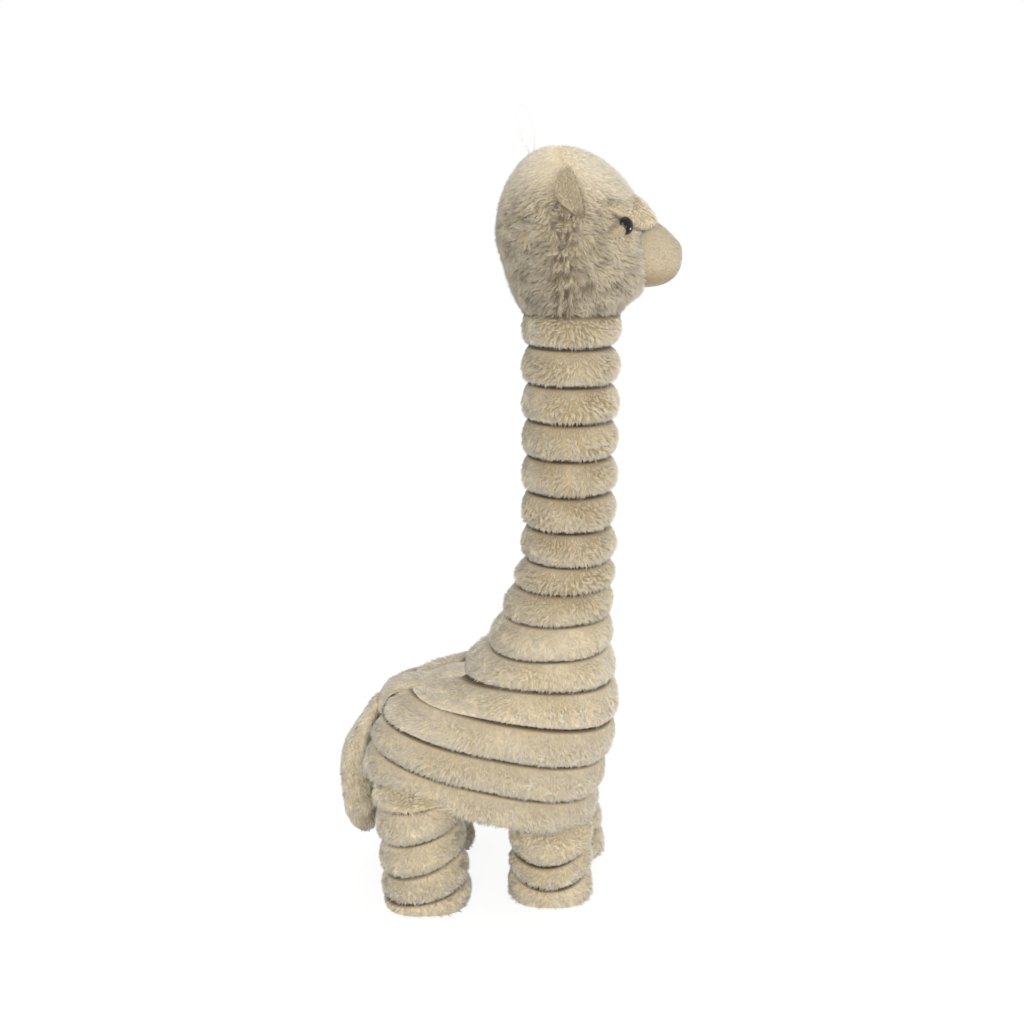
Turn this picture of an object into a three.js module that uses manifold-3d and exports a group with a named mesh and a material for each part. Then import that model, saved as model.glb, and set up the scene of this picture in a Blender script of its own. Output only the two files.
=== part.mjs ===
// A stuffed llama with a long ringed neck, standing on four short legs.
// Lengths are in millimetres and angles in degrees. The llama faces +X, its left side is +Y, +Z is up.
import * as THREE from "three";
import { mergeVertices } from "three/addons/utils/BufferGeometryUtils.js";
import Module from "manifold-3d";

// Covers and seams
const SEAM_GAP = 0.4; // between two pieces that are sewn face to face
const COVER_WALL = 6; // pressed plush between a groove and the filling
const GROOVE_DEPTH = 7; // how far a stitched groove draws a ring in

// Neck
const NECK_RADIUS = 39;
const NECK_X = 46; // fore and aft place of the upright neck
const NECK_RINGS = 9;
const STRAIGHT_RINGS = 7; // the lower ones widen toward the back
const RING_PITCH = 28.6;
const RING_CROWDING = 1.13; // over 1, the rings at the neck's foot are the narrower ones
const FLARE_Z = 283; // foot of the straight part
const NECK_FLEX = 5; // bend that each groove allows, to either side

// Body, from the foot of the straight neck down along the back and the chest
const BODY_RINGS = 6;
const BODY_HALF_WIDTH = 72;
const BODY_SQUARENESS = 2.5; // power of the outline, where 2 is an ellipse
const WITHERS_X = -25;
const WITHERS_Z = 206;
const LOIN_X = -60;
const LOIN_DROP = 16; // below the withers
const CROUP_X = -107;
const CROUP_DROP = 20; // below the loin
const RUMP_X = -128;
const RUMP_Z = 104;
const THROAT_X = 84;
const THROAT_Z = 205;
const BREAST_X = 91;
const BREAST_Z = 155;
const BRISKET_X = 71;
const BRISKET_Z = 66;
const BELLY_PANEL = 4;
const SPINE_HALF_WIDTH = 17;
const SPINE_DEPTH = 7;
const SPINE_START = 0.38; // share of the back line between the flare and the rump

// Legs
const LEG_SWING = 8; // swing of each hip, to either side
const SOLE_THICKNESS = 4;
const FOOT_ROUND = 3; // how far the foot's edge draws in at the floor
const REAR_LEG = { hipX: -77, footX: -71, y: 44, halfLength: 38, halfWidth: 36, rings: 4, ringTilt: 13 };
const FRONT_LEG = { hipX: 33, footX: 32, y: 34.5, halfLength: 36.5, halfWidth: 33.5, rings: 3, ringTilt: 4 };
const LEFT_HIP_STEP = 7; // how far the left front leg stands forward of the right one
const LEFT_FOOT_STEP = 16;

// Head, measured from the neck seam
const HEAD_HALF_LENGTH = 57;
const HEAD_HALF_WIDTH = 54;
const HEAD_SEAM_RADIUS = 43;
const HEAD_WIDE_Z = 52.5;
const HEAD_CROWN = 65; // from the widest level to the top
const HEAD_SET_BACK = -2;
const CROWN_LEAN = -9;
const CHEEK_POWER = 2.2; // how late the cheeks draw in to the neck
const FACE_SEAM_X = -9; // seam between the face and the back of the head
const MUZZLE_REACH = 83.5;
const MUZZLE_NOSE = 30; // length of the rounded end
const MUZZLE_HALF_HEIGHT = 23;
const MUZZLE_HALF_WIDTH = 24;
const MUZZLE_Z = 38.5;
const BROW_X = 35;
const BROW_Z = 80.3;
const BROW_HALF_LENGTH = 35;
const BROW_HALF_WIDTH = 39;
const BROW_HALF_DEPTH = 12;
const BROW_SLOPE = 35;

// Eyes
const EYE_RADIUS = 6.5;
const EYE_DOME = 4.5;
const EYE_Z = 61;
const EYE_ANGLE = 48; // from straight ahead
const SHANK_RADIUS = 2;
const SHANK_LENGTH = 13;
const WASHER_RADIUS = 6;
const WASHER_THICKNESS = 1.6;
const WASHER_SEAT = 1.3; // room for the curve of the cover in front of the washer

// Ears
const EAR_HEIGHT = 38;
const EAR_HALF_WIDTH = 9;
const EAR_ROOT_HALF_WIDTH = 5;
const EAR_LAYER = 2.2;
const EAR_Z = 66.3;
const EAR_LEAN = 9; // toward the back

// Tail
const TAIL_HALF_DEPTH = 9.5;
const TAIL_ROOT_HALF_DEPTH = 5;
const TAIL_ROOT_HALF_WIDTH = 14;
const TAIL_HALF_WIDTH = 20;
const TAIL_TIP_Z = 40;
const TAIL_TUCK = 5; // how far the tip hangs back in under the rump
const TAIL_ROOT = 0.77; // share of the back line between the flare and the rump

// Hanging loop: a thread that leaves the top of the head and goes back in beside itself
const LOOP_DIAMETER = 1.2;
const LOOP_X = -31; // from the neck seam's centre
const LOOP_Z = 113.9;
const LOOP_ROUTE = [
  [1.3, 0], [1.3, 4.5], [1.3, 9], [1.2, 13.5], [0.9, 18], [0, 22.5], [-1.6, 27], [-4.2, 31], [-7.6, 33],
  [-10.6, 31.4], [-12.2, 27.6], [-12.4, 23], [-11.4, 18], [-9.6, 13], [-7.2, 8], [-4.4, 3.4], [-2.2, -1.5],
];

// Facets
const NECK_SIDES = 16;
const BODY_SIDES = 24;
const LEG_SIDES = 14;
const HEAD_SIDES = 24;
const TRIM_SIDES = 12;
const RING_STEPS = 4; // across one ring's bulge

const wasm = await Module();
wasm.setup();

const FUR = new THREE.MeshStandardMaterial({ color: 0xd6c7aa, roughness: 0.95, metalness: 0 });
const PALE_FUR = new THREE.MeshStandardMaterial({ color: 0xe2d9c2, roughness: 0.95, metalness: 0 });
const VELOUR = new THREE.MeshStandardMaterial({ color: 0xd2c2a4, roughness: 0.9, metalness: 0 });
const FIBRE = new THREE.MeshStandardMaterial({ color: 0xf2f1ec, roughness: 1, metalness: 0 });
const EYE_BLACK = new THREE.MeshStandardMaterial({ color: 0x0a0908, roughness: 0.08, metalness: 0 });
const PLASTIC = new THREE.MeshStandardMaterial({ color: 0xe6e6e2, roughness: 0.5, metalness: 0 });
const THREAD = new THREE.MeshStandardMaterial({ color: 0xf4f3ee, roughness: 0.4, metalness: 0 });

const radians = THREE.MathUtils.degToRad;
const lerp = THREE.MathUtils.lerp;

// Points of a rounded outline on a plane that leans fore and aft
function outline(plane, halfLength, halfWidth, sides, rise = 0) {
  const along = new THREE.Vector3(Math.cos(plane.tilt), 0, Math.sin(plane.tilt));
  const up = new THREE.Vector3(-Math.sin(plane.tilt), 0, Math.cos(plane.tilt));
  const rounded = (value) => Math.sign(value) * Math.abs(value) ** (2 / plane.power);
  const points = [];
  for (let side = 0; side < sides; side++) {
    const angle = (2 * Math.PI * side) / sides;
    const point = plane.center.clone();
    point.addScaledVector(along, halfLength * rounded(Math.cos(angle)));
    point.addScaledVector(up, rise);
    point.y += halfWidth * rounded(Math.sin(angle));
    points.push(point);
  }
  return points;
}

// A closed body through a row of outlines; a ring-shaped one joins its last outline to its first
function loft(rows, ends = null) {
  const sides = rows[0].length;
  const points = rows.flat();
  const faces = [];
  const joins = ends ? rows.length - 1 : rows.length;
  for (let row = 0; row < joins; row++) {
    const here = row * sides;
    const next = ((row + 1) % rows.length) * sides;
    for (let side = 0; side < sides; side++) {
      const beside = (side + 1) % sides;
      faces.push(here + side, here + beside, next + beside);
      faces.push(here + side, next + beside, next + side);
    }
  }
  if (ends) {
    const last = (rows.length - 1) * sides;
    points.push(ends[0], ends[1]);
    for (let side = 0; side < sides; side++) {
      const beside = (side + 1) % sides;
      faces.push(points.length - 2, beside, side);
      faces.push(points.length - 1, last + side, last + beside);
    }
  }
  const geometry = new THREE.BufferGeometry().setFromPoints(points);
  geometry.setIndex(volume(points, faces) < 0 ? faces.reverse() : faces);
  return geometry;
}

function volume(points, faces) {
  let total = 0;
  for (let face = 0; face < faces.length; face += 3) {
    const [a, b, c] = [points[faces[face]], points[faces[face + 1]], points[faces[face + 2]]];
    total += a.dot(new THREE.Vector3().crossVectors(b, c)) / 6;
  }
  return total;
}

// Cutting one closed body by another
function toSolid(geometry) {
  const bare = geometry.clone();
  bare.deleteAttribute("normal");
  bare.deleteAttribute("uv");
  const merged = mergeVertices(bare);
  const vertProperties = Float32Array.from(merged.attributes.position.array);
  const triVerts = Uint32Array.from(merged.index.array);
  return new wasm.Manifold(new wasm.Mesh({ numProp: 3, vertProperties, triVerts }));
}

function toGeometry(solid) {
  const mesh = solid.getMesh();
  const geometry = new THREE.BufferGeometry();
  geometry.setAttribute("position", new THREE.BufferAttribute(Float32Array.from(mesh.vertProperties), 3));
  geometry.setIndex(Array.from(mesh.triVerts));
  return geometry;
}

function cut(geometry, ...tools) {
  let solid = toSolid(geometry);
  for (const tool of tools) {
    solid = solid.subtract(toSolid(tool));
  }
  return toGeometry(solid);
}

function keepInside(geometry, tool) {
  return toGeometry(toSolid(geometry).intersect(toSolid(tool)));
}

// Back and chest lines, and the grooves that cross from one to the other
const loinZ = WITHERS_Z - LOIN_DROP;
const croupZ = loinZ - CROUP_DROP;
const backLine = new THREE.SplineCurve([
  new THREE.Vector2(NECK_X - NECK_RADIUS, FLARE_Z),
  new THREE.Vector2(WITHERS_X, WITHERS_Z),
  new THREE.Vector2(LOIN_X, loinZ),
  new THREE.Vector2(CROUP_X, croupZ),
  new THREE.Vector2(RUMP_X, RUMP_Z),
]);
const chestLine = new THREE.SplineCurve([
  new THREE.Vector2(NECK_X + NECK_RADIUS, FLARE_Z),
  new THREE.Vector2(THROAT_X, THROAT_Z),
  new THREE.Vector2(BREAST_X, BREAST_Z),
  new THREE.Vector2(BRISKET_X, BRISKET_Z),
]);
const FLARED_RINGS = NECK_RINGS - STRAIGHT_RINGS + BODY_RINGS;
const NECK_TOP = new THREE.Vector3(NECK_X, 0, FLARE_Z + STRAIGHT_RINGS * RING_PITCH);

function grooveAt(index) {
  const share = Math.max(0, (index - STRAIGHT_RINGS) / FLARED_RINGS) ** RING_CROWDING;
  const lift = Math.max(0, STRAIGHT_RINGS - index) * RING_PITCH;
  const rear = backLine.getPointAt(share);
  const front = chestLine.getPointAt(share);
  const swell = THREE.MathUtils.smoothstep(share, 0, 0.75);
  return {
    center: new THREE.Vector3((rear.x + front.x) / 2, 0, (rear.y + front.y) / 2 + lift),
    tilt: Math.atan2(front.y - rear.y, front.x - rear.x),
    halfLength: front.distanceTo(rear) / 2,
    halfWidth: lerp(NECK_RADIUS, BODY_HALF_WIDTH, swell),
    power: lerp(2, BODY_SQUARENESS, swell),
    flex: index > 0 && index <= NECK_RINGS ? NECK_FLEX / 2 + 0.1 : 0,
  };
}

function between(upper, lower, share) {
  const mixed = { center: upper.center.clone().lerp(lower.center, share) };
  for (const key of ["tilt", "halfLength", "halfWidth", "power"]) {
    mixed[key] = lerp(upper[key], lower[key], share);
  }
  return mixed;
}

const inset = (plane, depth, sides, rise) =>
  outline(plane, plane.halfLength - depth, plane.halfWidth - depth, sides, rise);

// How far, as a share of the height, an end face lies from its groove so that the groove can close on one side
function endShare(groove, depth, height, reach = SEAM_GAP / 2) {
  const radius = Math.max(groove.halfLength, groove.halfWidth) - depth;
  return (reach + radius * Math.tan(radians(groove.flex))) / height;
}

// A row of points on the straight lines from one groove's outline to the next one's
function ruledRow(near, far, share, depth, sides) {
  const row = inset(near, depth, sides);
  const beyond = inset(far, depth, sides);
  return row.map((point, side) => point.lerp(beyond[side], share));
}

// One sewn ring: it bulges between two grooves and has the filling's bore through it
function ringCover(upper, lower, sides) {
  const height = upper.center.distanceTo(lower.center);
  const start = endShare(upper, GROOVE_DEPTH, height);
  const end = 1 - endShare(lower, GROOVE_DEPTH, height);
  const bore = GROOVE_DEPTH + COVER_WALL;
  const rows = [];
  for (let step = 0; step <= RING_STEPS; step++) {
    const angle = (Math.PI * step) / RING_STEPS;
    const share = lerp(start, end, (1 - Math.cos(angle)) / 2);
    rows.push(inset(between(upper, lower, share), GROOVE_DEPTH * (1 - Math.sin(angle)), sides));
  }
  rows.push(ruledRow(lower, upper, endShare(lower, bore, height), bore, sides));
  rows.push(ruledRow(upper, lower, endShare(upper, bore, height), bore, sides));
  return loft(rows);
}

// The filling inside one or more rings, with ends that rise to the middle of each groove
function ringFilling(grooves, sides) {
  const depth = GROOVE_DEPTH + COVER_WALL + SEAM_GAP;
  const last = grooves.length - 1;
  const ends = [[grooves[0], grooves[1]], [grooves[last], grooves[last - 1]]];
  const caps = ends.map(([groove, inner]) => {
    const height = groove.center.distanceTo(inner.center);
    const tip = between(groove, inner, SEAM_GAP / 2 / height).center;
    return { tip, row: ruledRow(groove, inner, endShare(groove, depth, height), depth, sides) };
  });
  const middle = grooves.slice(1, last).map((groove) => inset(groove, depth, sides)).reverse();
  return loft([caps[1].row, ...middle, caps[0].row], [caps[1].tip, caps[0].tip]);
}

// The scene graph: each moving part is a group whose origin is the seam that it moves on
const llama = new THREE.Group();
llama.userData.seam = new THREE.Vector3();

function movingGroup(name, parent, seam) {
  const group = new THREE.Group();
  group.name = name;
  group.userData.seam = seam.clone();
  group.position.copy(seam).sub(parent.userData.seam);
  parent.add(group);
  return group;
}

function addPiece(group, name, geometry, material) {
  const seam = group.userData.seam;
  geometry.translate(-seam.x, -seam.y, -seam.z);
  const mesh = new THREE.Mesh(geometry, material);
  mesh.name = name;
  group.add(mesh);
}

// Body; the spine strip runs back until it carries the root of the tail
const spineEnd = TAIL_ROOT + TAIL_ROOT_HALF_DEPTH / backLine.getLength();
const grooves = Array.from({ length: NECK_RINGS + BODY_RINGS + 1 }, (_, index) => grooveAt(index));
const belly = grooves[NECK_RINGS + BODY_RINGS];

function backPlane(share, height, power) {
  const point = backLine.getPointAt(share);
  const tangent = backLine.getTangentAt(share);
  const outward = new THREE.Vector2(tangent.y, -tangent.x);
  point.addScaledVector(outward, height);
  return { center: new THREE.Vector3(point.x, 0, point.y), tilt: outward.angle(), power };
}

function spineStrip(clearance) {
  const steps = 9;
  const stretch = clearance / backLine.getLength();
  const rows = [];
  for (let step = 0; step <= steps; step++) {
    const share = lerp(SPINE_START - stretch, spineEnd + stretch, step / steps);
    const plane = backPlane(share, -SPINE_DEPTH / 2, 4);
    rows.push(outline(plane, SPINE_DEPTH / 2 + clearance, SPINE_HALF_WIDTH + clearance, TRIM_SIDES));
  }
  const mean = (row) => row.reduce((sum, point) => sum.add(point), new THREE.Vector3()).divideScalar(row.length);
  return loft(rows, [mean(rows[0]), mean(rows[steps])]);
}

for (let index = 1; index <= BODY_RINGS; index++) {
  const upper = grooves[NECK_RINGS + index - 1];
  const lower = grooves[NECK_RINGS + index];
  const cover = cut(ringCover(upper, lower, BODY_SIDES), spineStrip(SEAM_GAP));
  addPiece(llama, `body_ring_${index}`, cover, FUR);
}
const bodyFilling = cut(ringFilling(grooves.slice(NECK_RINGS), BODY_SIDES), spineStrip(SEAM_GAP));
addPiece(llama, "body_filling", bodyFilling, FIBRE);
addPiece(llama, "spine_strip", spineStrip(0), FUR);

const panelTop = -SEAM_GAP / 2;
const panelRows = [panelTop, panelTop - BELLY_PANEL].map((rise) => inset(belly, GROOVE_DEPTH, BODY_SIDES, rise));
const bellyUp = new THREE.Vector3(-Math.sin(belly.tilt), 0, Math.cos(belly.tilt));
const panelMiddles = [panelTop, panelTop - BELLY_PANEL].map((rise) =>
  belly.center.clone().addScaledVector(bellyUp, rise));
addPiece(llama, "belly_panel", loft(panelRows, panelMiddles), FUR);

// Legs
function legLevels(leg, side, hipStep, footStep) {
  const levels = [];
  const drop = (BELLY_PANEL + SEAM_GAP * 1.5) / Math.cos(belly.tilt);
  const hipX = leg.hipX + hipStep;
  const footX = leg.footX + footStep;
  const hipZ = belly.center.z + (hipX - belly.center.x) * Math.tan(belly.tilt) - drop;
  for (let index = 0; index <= leg.rings; index++) {
    const share = index / leg.rings;
    levels.push({
      center: new THREE.Vector3(lerp(hipX, footX, share), side * leg.y, lerp(hipZ, 0, share)),
      tilt: belly.tilt * (1 - share) + radians(leg.ringTilt) * Math.sin(Math.PI * share),
      halfLength: leg.halfLength,
      halfWidth: leg.halfWidth,
      power: 2,
      flex: index === 0 ? LEG_SWING + 0.5 : 0,
    });
  }
  return levels;
}

// The top of a leg, parallel to the belly and far enough below the hip for the leg to swing
function hipPlane(levels, depth) {
  const height = levels[0].center.distanceTo(levels[1].center);
  const share = endShare(levels[0], depth, height, 0);
  return { ...between(levels[0], levels[1], share), tilt: levels[0].tilt };
}

function legCover(levels) {
  const bore = GROOVE_DEPTH + COVER_WALL;
  const rows = [];
  for (let ring = 1; ring < levels.length; ring++) {
    const upper = ring === 1 ? hipPlane(levels, GROOVE_DEPTH) : levels[ring - 1];
    for (let step = ring === 1 ? 0 : 1; step <= RING_STEPS; step++) {
      const angle = (Math.PI * step) / RING_STEPS;
      const plane = between(upper, levels[ring], (1 - Math.cos(angle)) / 2);
      const atFloor = ring === levels.length - 1 && angle > Math.PI / 2;
      const depth = atFloor ? FOOT_ROUND : GROOVE_DEPTH;
      rows.push(inset(plane, depth * (1 - Math.sin(angle)), LEG_SIDES));
    }
  }
  for (let ring = levels.length - 1; ring > 0; ring--) {
    rows.push(inset(levels[ring], bore, LEG_SIDES));
  }
  rows.push(inset(hipPlane(levels, bore), bore, LEG_SIDES));
  return loft(rows);
}

function levelPlane(levels, z) {
  const last = levels.length - 1;
  const plane = between(levels[last - 1], levels[last], 1 - z / levels[last - 1].center.z);
  return { ...plane, tilt: 0 };
}

function legFilling(levels) {
  const depth = GROOVE_DEPTH + COVER_WALL + SEAM_GAP;
  const top = inset(hipPlane(levels, depth), depth, LEG_SIDES);
  const middle = levels.slice(1, -1).map((level) => inset(level, depth, LEG_SIDES));
  const foot = levelPlane(levels, SOLE_THICKNESS + SEAM_GAP);
  return loft([top, ...middle, inset(foot, depth, LEG_SIDES)], [levels[0].center.clone(), foot.center]);
}

function legSole(levels) {
  const depth = GROOVE_DEPTH + COVER_WALL + SEAM_GAP;
  const planes = [levelPlane(levels, 0), levelPlane(levels, SOLE_THICKNESS)];
  const rows = planes.map((plane) => inset(plane, depth, LEG_SIDES));
  return loft(rows, planes.map((plane) => plane.center));
}

const LEGS = [
  { name: "leg_rear_right", leg: REAR_LEG, side: -1, hipStep: 0, footStep: 0 },
  { name: "leg_rear_left", leg: REAR_LEG, side: 1, hipStep: 0, footStep: 0 },
  { name: "leg_front_right", leg: FRONT_LEG, side: -1, hipStep: 0, footStep: 0 },
  { name: "leg_front_left", leg: FRONT_LEG, side: 1, hipStep: LEFT_HIP_STEP, footStep: LEFT_FOOT_STEP },
];
for (const { name, leg, side, hipStep, footStep } of LEGS) {
  const levels = legLevels(leg, side, hipStep, footStep);
  const group = movingGroup(`${name}_hip`, llama, levels[0].center);
  addPiece(group, `${name}_cover`, legCover(levels), FUR);
  addPiece(group, `${name}_filling`, legFilling(levels), FIBRE);
  addPiece(group, `${name}_sole`, legSole(levels), VELOUR);
}

// Tail: it lies on the rump from its root and hangs free below it
const tailSwell = (share, root, full) => lerp(root, full, THREE.MathUtils.smoothstep(share, 0, 0.6));
const tailPlaces = [[TAIL_ROOT, TAIL_ROOT_HALF_DEPTH], [(TAIL_ROOT + 1) / 2, TAIL_HALF_DEPTH], [1, TAIL_HALF_DEPTH]]
  .map(([share, halfDepth]) => backPlane(share, halfDepth + SEAM_GAP, 2).center);
const tailTip = tailPlaces[2].clone();
tailTip.x += TAIL_TUCK;
tailTip.z = TAIL_TIP_Z + TAIL_HALF_DEPTH;
const tailLine = new THREE.SplineCurve([...tailPlaces, tailTip].map((place) => new THREE.Vector2(place.x, place.z)));

function tailPlane(share, overhang = 0) {
  const point = tailLine.getPointAt(share);
  const tangent = tailLine.getTangentAt(share);
  point.addScaledVector(tangent, overhang);
  const tilt = Math.atan2(-tangent.x, tangent.y);
  return { center: new THREE.Vector3(point.x, 0, point.y), tilt, power: 2.4 };
}

function tailBody() {
  const rows = [];
  const addRow = (share, size, overhang) => {
    const halfDepth = tailSwell(share, TAIL_ROOT_HALF_DEPTH, TAIL_HALF_DEPTH);
    const halfWidth = tailSwell(share, TAIL_ROOT_HALF_WIDTH, TAIL_HALF_WIDTH);
    rows.push(outline(tailPlane(share, overhang * halfDepth), halfDepth * size, halfWidth * size, TRIM_SIDES));
  };
  const roundAngles = [20, 55].map(radians);
  const steps = 8;
  for (const angle of roundAngles) {
    addRow(0, Math.sin(angle), -Math.cos(angle));
  }
  for (let step = 0; step <= steps; step++) {
    addRow(step / steps, 1, 0);
  }
  for (const angle of roundAngles.reverse()) {
    addRow(1, Math.sin(angle), Math.cos(angle));
  }
  return loft(rows, [tailPlane(0, -TAIL_ROOT_HALF_DEPTH).center, tailPlane(1, TAIL_HALF_DEPTH).center]);
}
addPiece(movingGroup("tail_root", llama, tailPlaces[0]), "tail", tailBody(), FUR);

// Neck: a chain of rings, each group moving on the groove below it
let carrier = llama;
for (let index = NECK_RINGS; index > 0; index--) {
  const upper = grooves[index - 1];
  const lower = grooves[index];
  carrier = movingGroup(`neck_groove_${index}`, carrier, lower.center);
  addPiece(carrier, `neck_ring_${index}`, ringCover(upper, lower, NECK_SIDES), FUR);
  addPiece(carrier, `neck_filling_${index}`, ringFilling([upper, lower], NECK_SIDES), FIBRE);
}

// Head: levels are measured from the neck seam
const head = movingGroup("head_seam", carrier, NECK_TOP);
const headAt = (x, y, z) => new THREE.Vector3(NECK_TOP.x + x, NECK_TOP.y + y, NECK_TOP.z + z);

function headLevel(height, depth) {
  const over = (height - HEAD_WIDE_Z) / (HEAD_CROWN - depth);
  const under = Math.max(0, -(height - HEAD_WIDE_Z) / HEAD_WIDE_Z);
  const draw = under > 0 ? under ** CHEEK_POWER : 0;
  const round = over > 0 ? Math.sqrt(Math.max(0, 1 - over * over)) : 1;
  const lean = over > 0 ? CROWN_LEAN * over * over : 0;
  return {
    center: headAt(HEAD_SET_BACK * (1 - under) + lean, 0, height),
    tilt: 0,
    power: 2,
    halfLength: (lerp(HEAD_HALF_LENGTH, HEAD_SEAM_RADIUS, draw) - depth) * round,
    halfWidth: (lerp(HEAD_HALF_WIDTH, HEAD_SEAM_RADIUS, draw) - depth) * round,
  };
}

function headSolid(depth) {
  const bottom = SEAM_GAP / 2 + depth;
  const heights = [1, 0.75, 0.5, 0.25].map((share) => lerp(HEAD_WIDE_Z, bottom, share));
  heights.push(HEAD_WIDE_Z, EYE_Z);
  for (const angle of [26, 45, 62, 77]) {
    heights.push(HEAD_WIDE_Z + (HEAD_CROWN - depth) * Math.sin(radians(angle)));
  }
  const rows = heights.map((height) => inset(headLevel(height, depth), 0, HEAD_SIDES));
  const crown = headLevel(HEAD_WIDE_Z + HEAD_CROWN - depth, depth);
  return loft(rows, [headLevel(bottom, depth).center, crown.center]);
}

function muzzleSolid(depth) {
  const shoulder = MUZZLE_REACH - MUZZLE_NOSE;
  const rows = [];
  const addRow = (x, size) => {
    const center = headAt(x, 0, MUZZLE_Z);
    const plane = { center, tilt: Math.PI / 2, power: 2.3 };
    const halfHeight = (MUZZLE_HALF_HEIGHT - depth) * size;
    rows.push(outline(plane, halfHeight, (MUZZLE_HALF_WIDTH - depth) * size, HEAD_SIDES));
  };
  addRow(0, 1);
  for (const angle of [0, 25, 48, 68, 82]) {
    addRow(shoulder + (MUZZLE_NOSE - depth) * Math.sin(radians(angle)), Math.cos(radians(angle)) ** 0.8);
  }
  return loft(rows, [headAt(0, 0, MUZZLE_Z), headAt(MUZZLE_REACH - depth, 0, MUZZLE_Z)]);
}

function browSolid() {
  const geometry = new THREE.SphereGeometry(1, TRIM_SIDES, TRIM_SIDES / 2);
  geometry.scale(BROW_HALF_LENGTH, BROW_HALF_WIDTH, BROW_HALF_DEPTH);
  geometry.rotateY(radians(BROW_SLOPE));
  const place = headAt(BROW_X, 0, BROW_Z);
  return geometry.translate(place.x, place.y, place.z);
}

// A box that covers the head on one side of the face seam
function seamSide(way) {
  const size = 4 * (HEAD_HALF_LENGTH + HEAD_CROWN);
  const place = headAt(FACE_SEAM_X + way * (size / 2 + SEAM_GAP / 2), 0, HEAD_WIDE_Z);
  return new THREE.BoxGeometry(size, size, size).translate(place.x, place.y, place.z);
}

// Eyes: a dome on a shank that passes through the cover and is held by a washer behind it
function eyeSeat(side) {
  const level = headLevel(EYE_Z, 0);
  const angle = radians(EYE_ANGLE) * side;
  const over = (EYE_Z - HEAD_WIDE_Z) / HEAD_CROWN;
  const outward = new THREE.Vector3(
    Math.cos(angle) / HEAD_HALF_LENGTH, Math.sin(angle) / HEAD_HALF_WIDTH, over / HEAD_CROWN).normalize();
  const place = level.center.clone();
  place.x += level.halfLength * Math.cos(angle);
  place.y += level.halfWidth * Math.sin(angle);
  const turn = new THREE.Quaternion().setFromUnitVectors(new THREE.Vector3(0, 1, 0), outward);
  return new THREE.Matrix4().compose(place, turn, new THREE.Vector3(1, 1, 1));
}

function turned(profile, side) {
  const points = profile.map(([radius, height]) => new THREE.Vector2(radius, height));
  return new THREE.LatheGeometry(points, TRIM_SIDES).applyMatrix4(eyeSeat(side));
}

function eyeProfile() {
  const profile = [[0, -SHANK_LENGTH], [SHANK_RADIUS, -SHANK_LENGTH], [SHANK_RADIUS, SEAM_GAP], [EYE_RADIUS, SEAM_GAP]];
  for (const angle of [30, 60]) {
    const height = SEAM_GAP + EYE_DOME * Math.sin(radians(angle));
    profile.push([EYE_RADIUS * Math.cos(radians(angle)), height]);
  }
  return [...profile, [0, SEAM_GAP + EYE_DOME]];
}

function plug(radius, bottom, top, side) {
  return turned([[0, bottom], [radius, bottom], [radius, top], [0, top]], side);
}

const washerTop = -COVER_WALL - WASHER_SEAT;
const washerBottom = washerTop - WASHER_THICKNESS;
const washerBore = SHANK_RADIUS + SEAM_GAP;
const SIDES = [{ name: "right", side: -1 }, { name: "left", side: 1 }];
const shankHoles = SIDES.map(({ side }) => plug(washerBore, -SHANK_LENGTH - SEAM_GAP, EYE_DOME, side));
const washerPockets = SIDES.map(({ side }) =>
  plug(WASHER_RADIUS + SEAM_GAP, -SHANK_LENGTH - SEAM_GAP, SEAM_GAP, side));

const headOuter = headSolid(0);
const headSkin = headSolid(-SEAM_GAP);
const headBore = headSolid(COVER_WALL);
addPiece(head, "head_back", cut(keepInside(headOuter, seamSide(-1)), headBore), FUR);
addPiece(head, "head_face", cut(keepInside(headOuter, seamSide(1)), headBore, ...shankHoles), FUR);
addPiece(head, "head_filling", cut(headSolid(COVER_WALL + SEAM_GAP), ...washerPockets), FIBRE);
addPiece(head, "muzzle", cut(muzzleSolid(0), muzzleSolid(COVER_WALL / 2), headSkin), VELOUR);
addPiece(head, "muzzle_filling", cut(muzzleSolid(COVER_WALL / 2 + SEAM_GAP), headSkin), FIBRE);
addPiece(head, "brow_pad", cut(browSolid(), headSkin, muzzleSolid(-SEAM_GAP)), PALE_FUR);

for (const { name, side } of SIDES) {
  addPiece(head, `eye_${name}`, turned(eyeProfile(), side), EYE_BLACK);
  const washer = [
    [washerBore, washerBottom], [WASHER_RADIUS, washerBottom], [WASHER_RADIUS, washerTop],
    [washerBore, washerTop], [washerBore, washerBottom],
  ];
  addPiece(head, `eye_washer_${name}`, turned(washer, side), PLASTIC);
}

// Ears: two sewn layers, a furry outer one and a velour lining
function earLayer(start, side) {
  const leaf = new THREE.Shape();
  const shoulder = EAR_HEIGHT * 0.45;
  leaf.moveTo(-EAR_ROOT_HALF_WIDTH, 0);
  leaf.lineTo(EAR_ROOT_HALF_WIDTH, 0);
  leaf.quadraticCurveTo(EAR_HALF_WIDTH * 1.1, shoulder * 0.5, EAR_HALF_WIDTH, shoulder);
  leaf.quadraticCurveTo(EAR_HALF_WIDTH * 0.8, EAR_HEIGHT * 0.85, 0, EAR_HEIGHT);
  leaf.quadraticCurveTo(-EAR_HALF_WIDTH * 0.8, EAR_HEIGHT * 0.85, -EAR_HALF_WIDTH, shoulder);
  leaf.quadraticCurveTo(-EAR_HALF_WIDTH * 1.1, shoulder * 0.5, -EAR_ROOT_HALF_WIDTH, 0);
  const depth = side * EAR_LAYER;
  const geometry = new THREE.ExtrudeGeometry(leaf, { depth: EAR_LAYER, bevelEnabled: false, curveSegments: 4 });
  geometry.rotateX(Math.PI / 2);
  geometry.translate(0, side > 0 ? start + depth : start, 0);
  return geometry.rotateY(radians(-EAR_LEAN));
}

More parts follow.
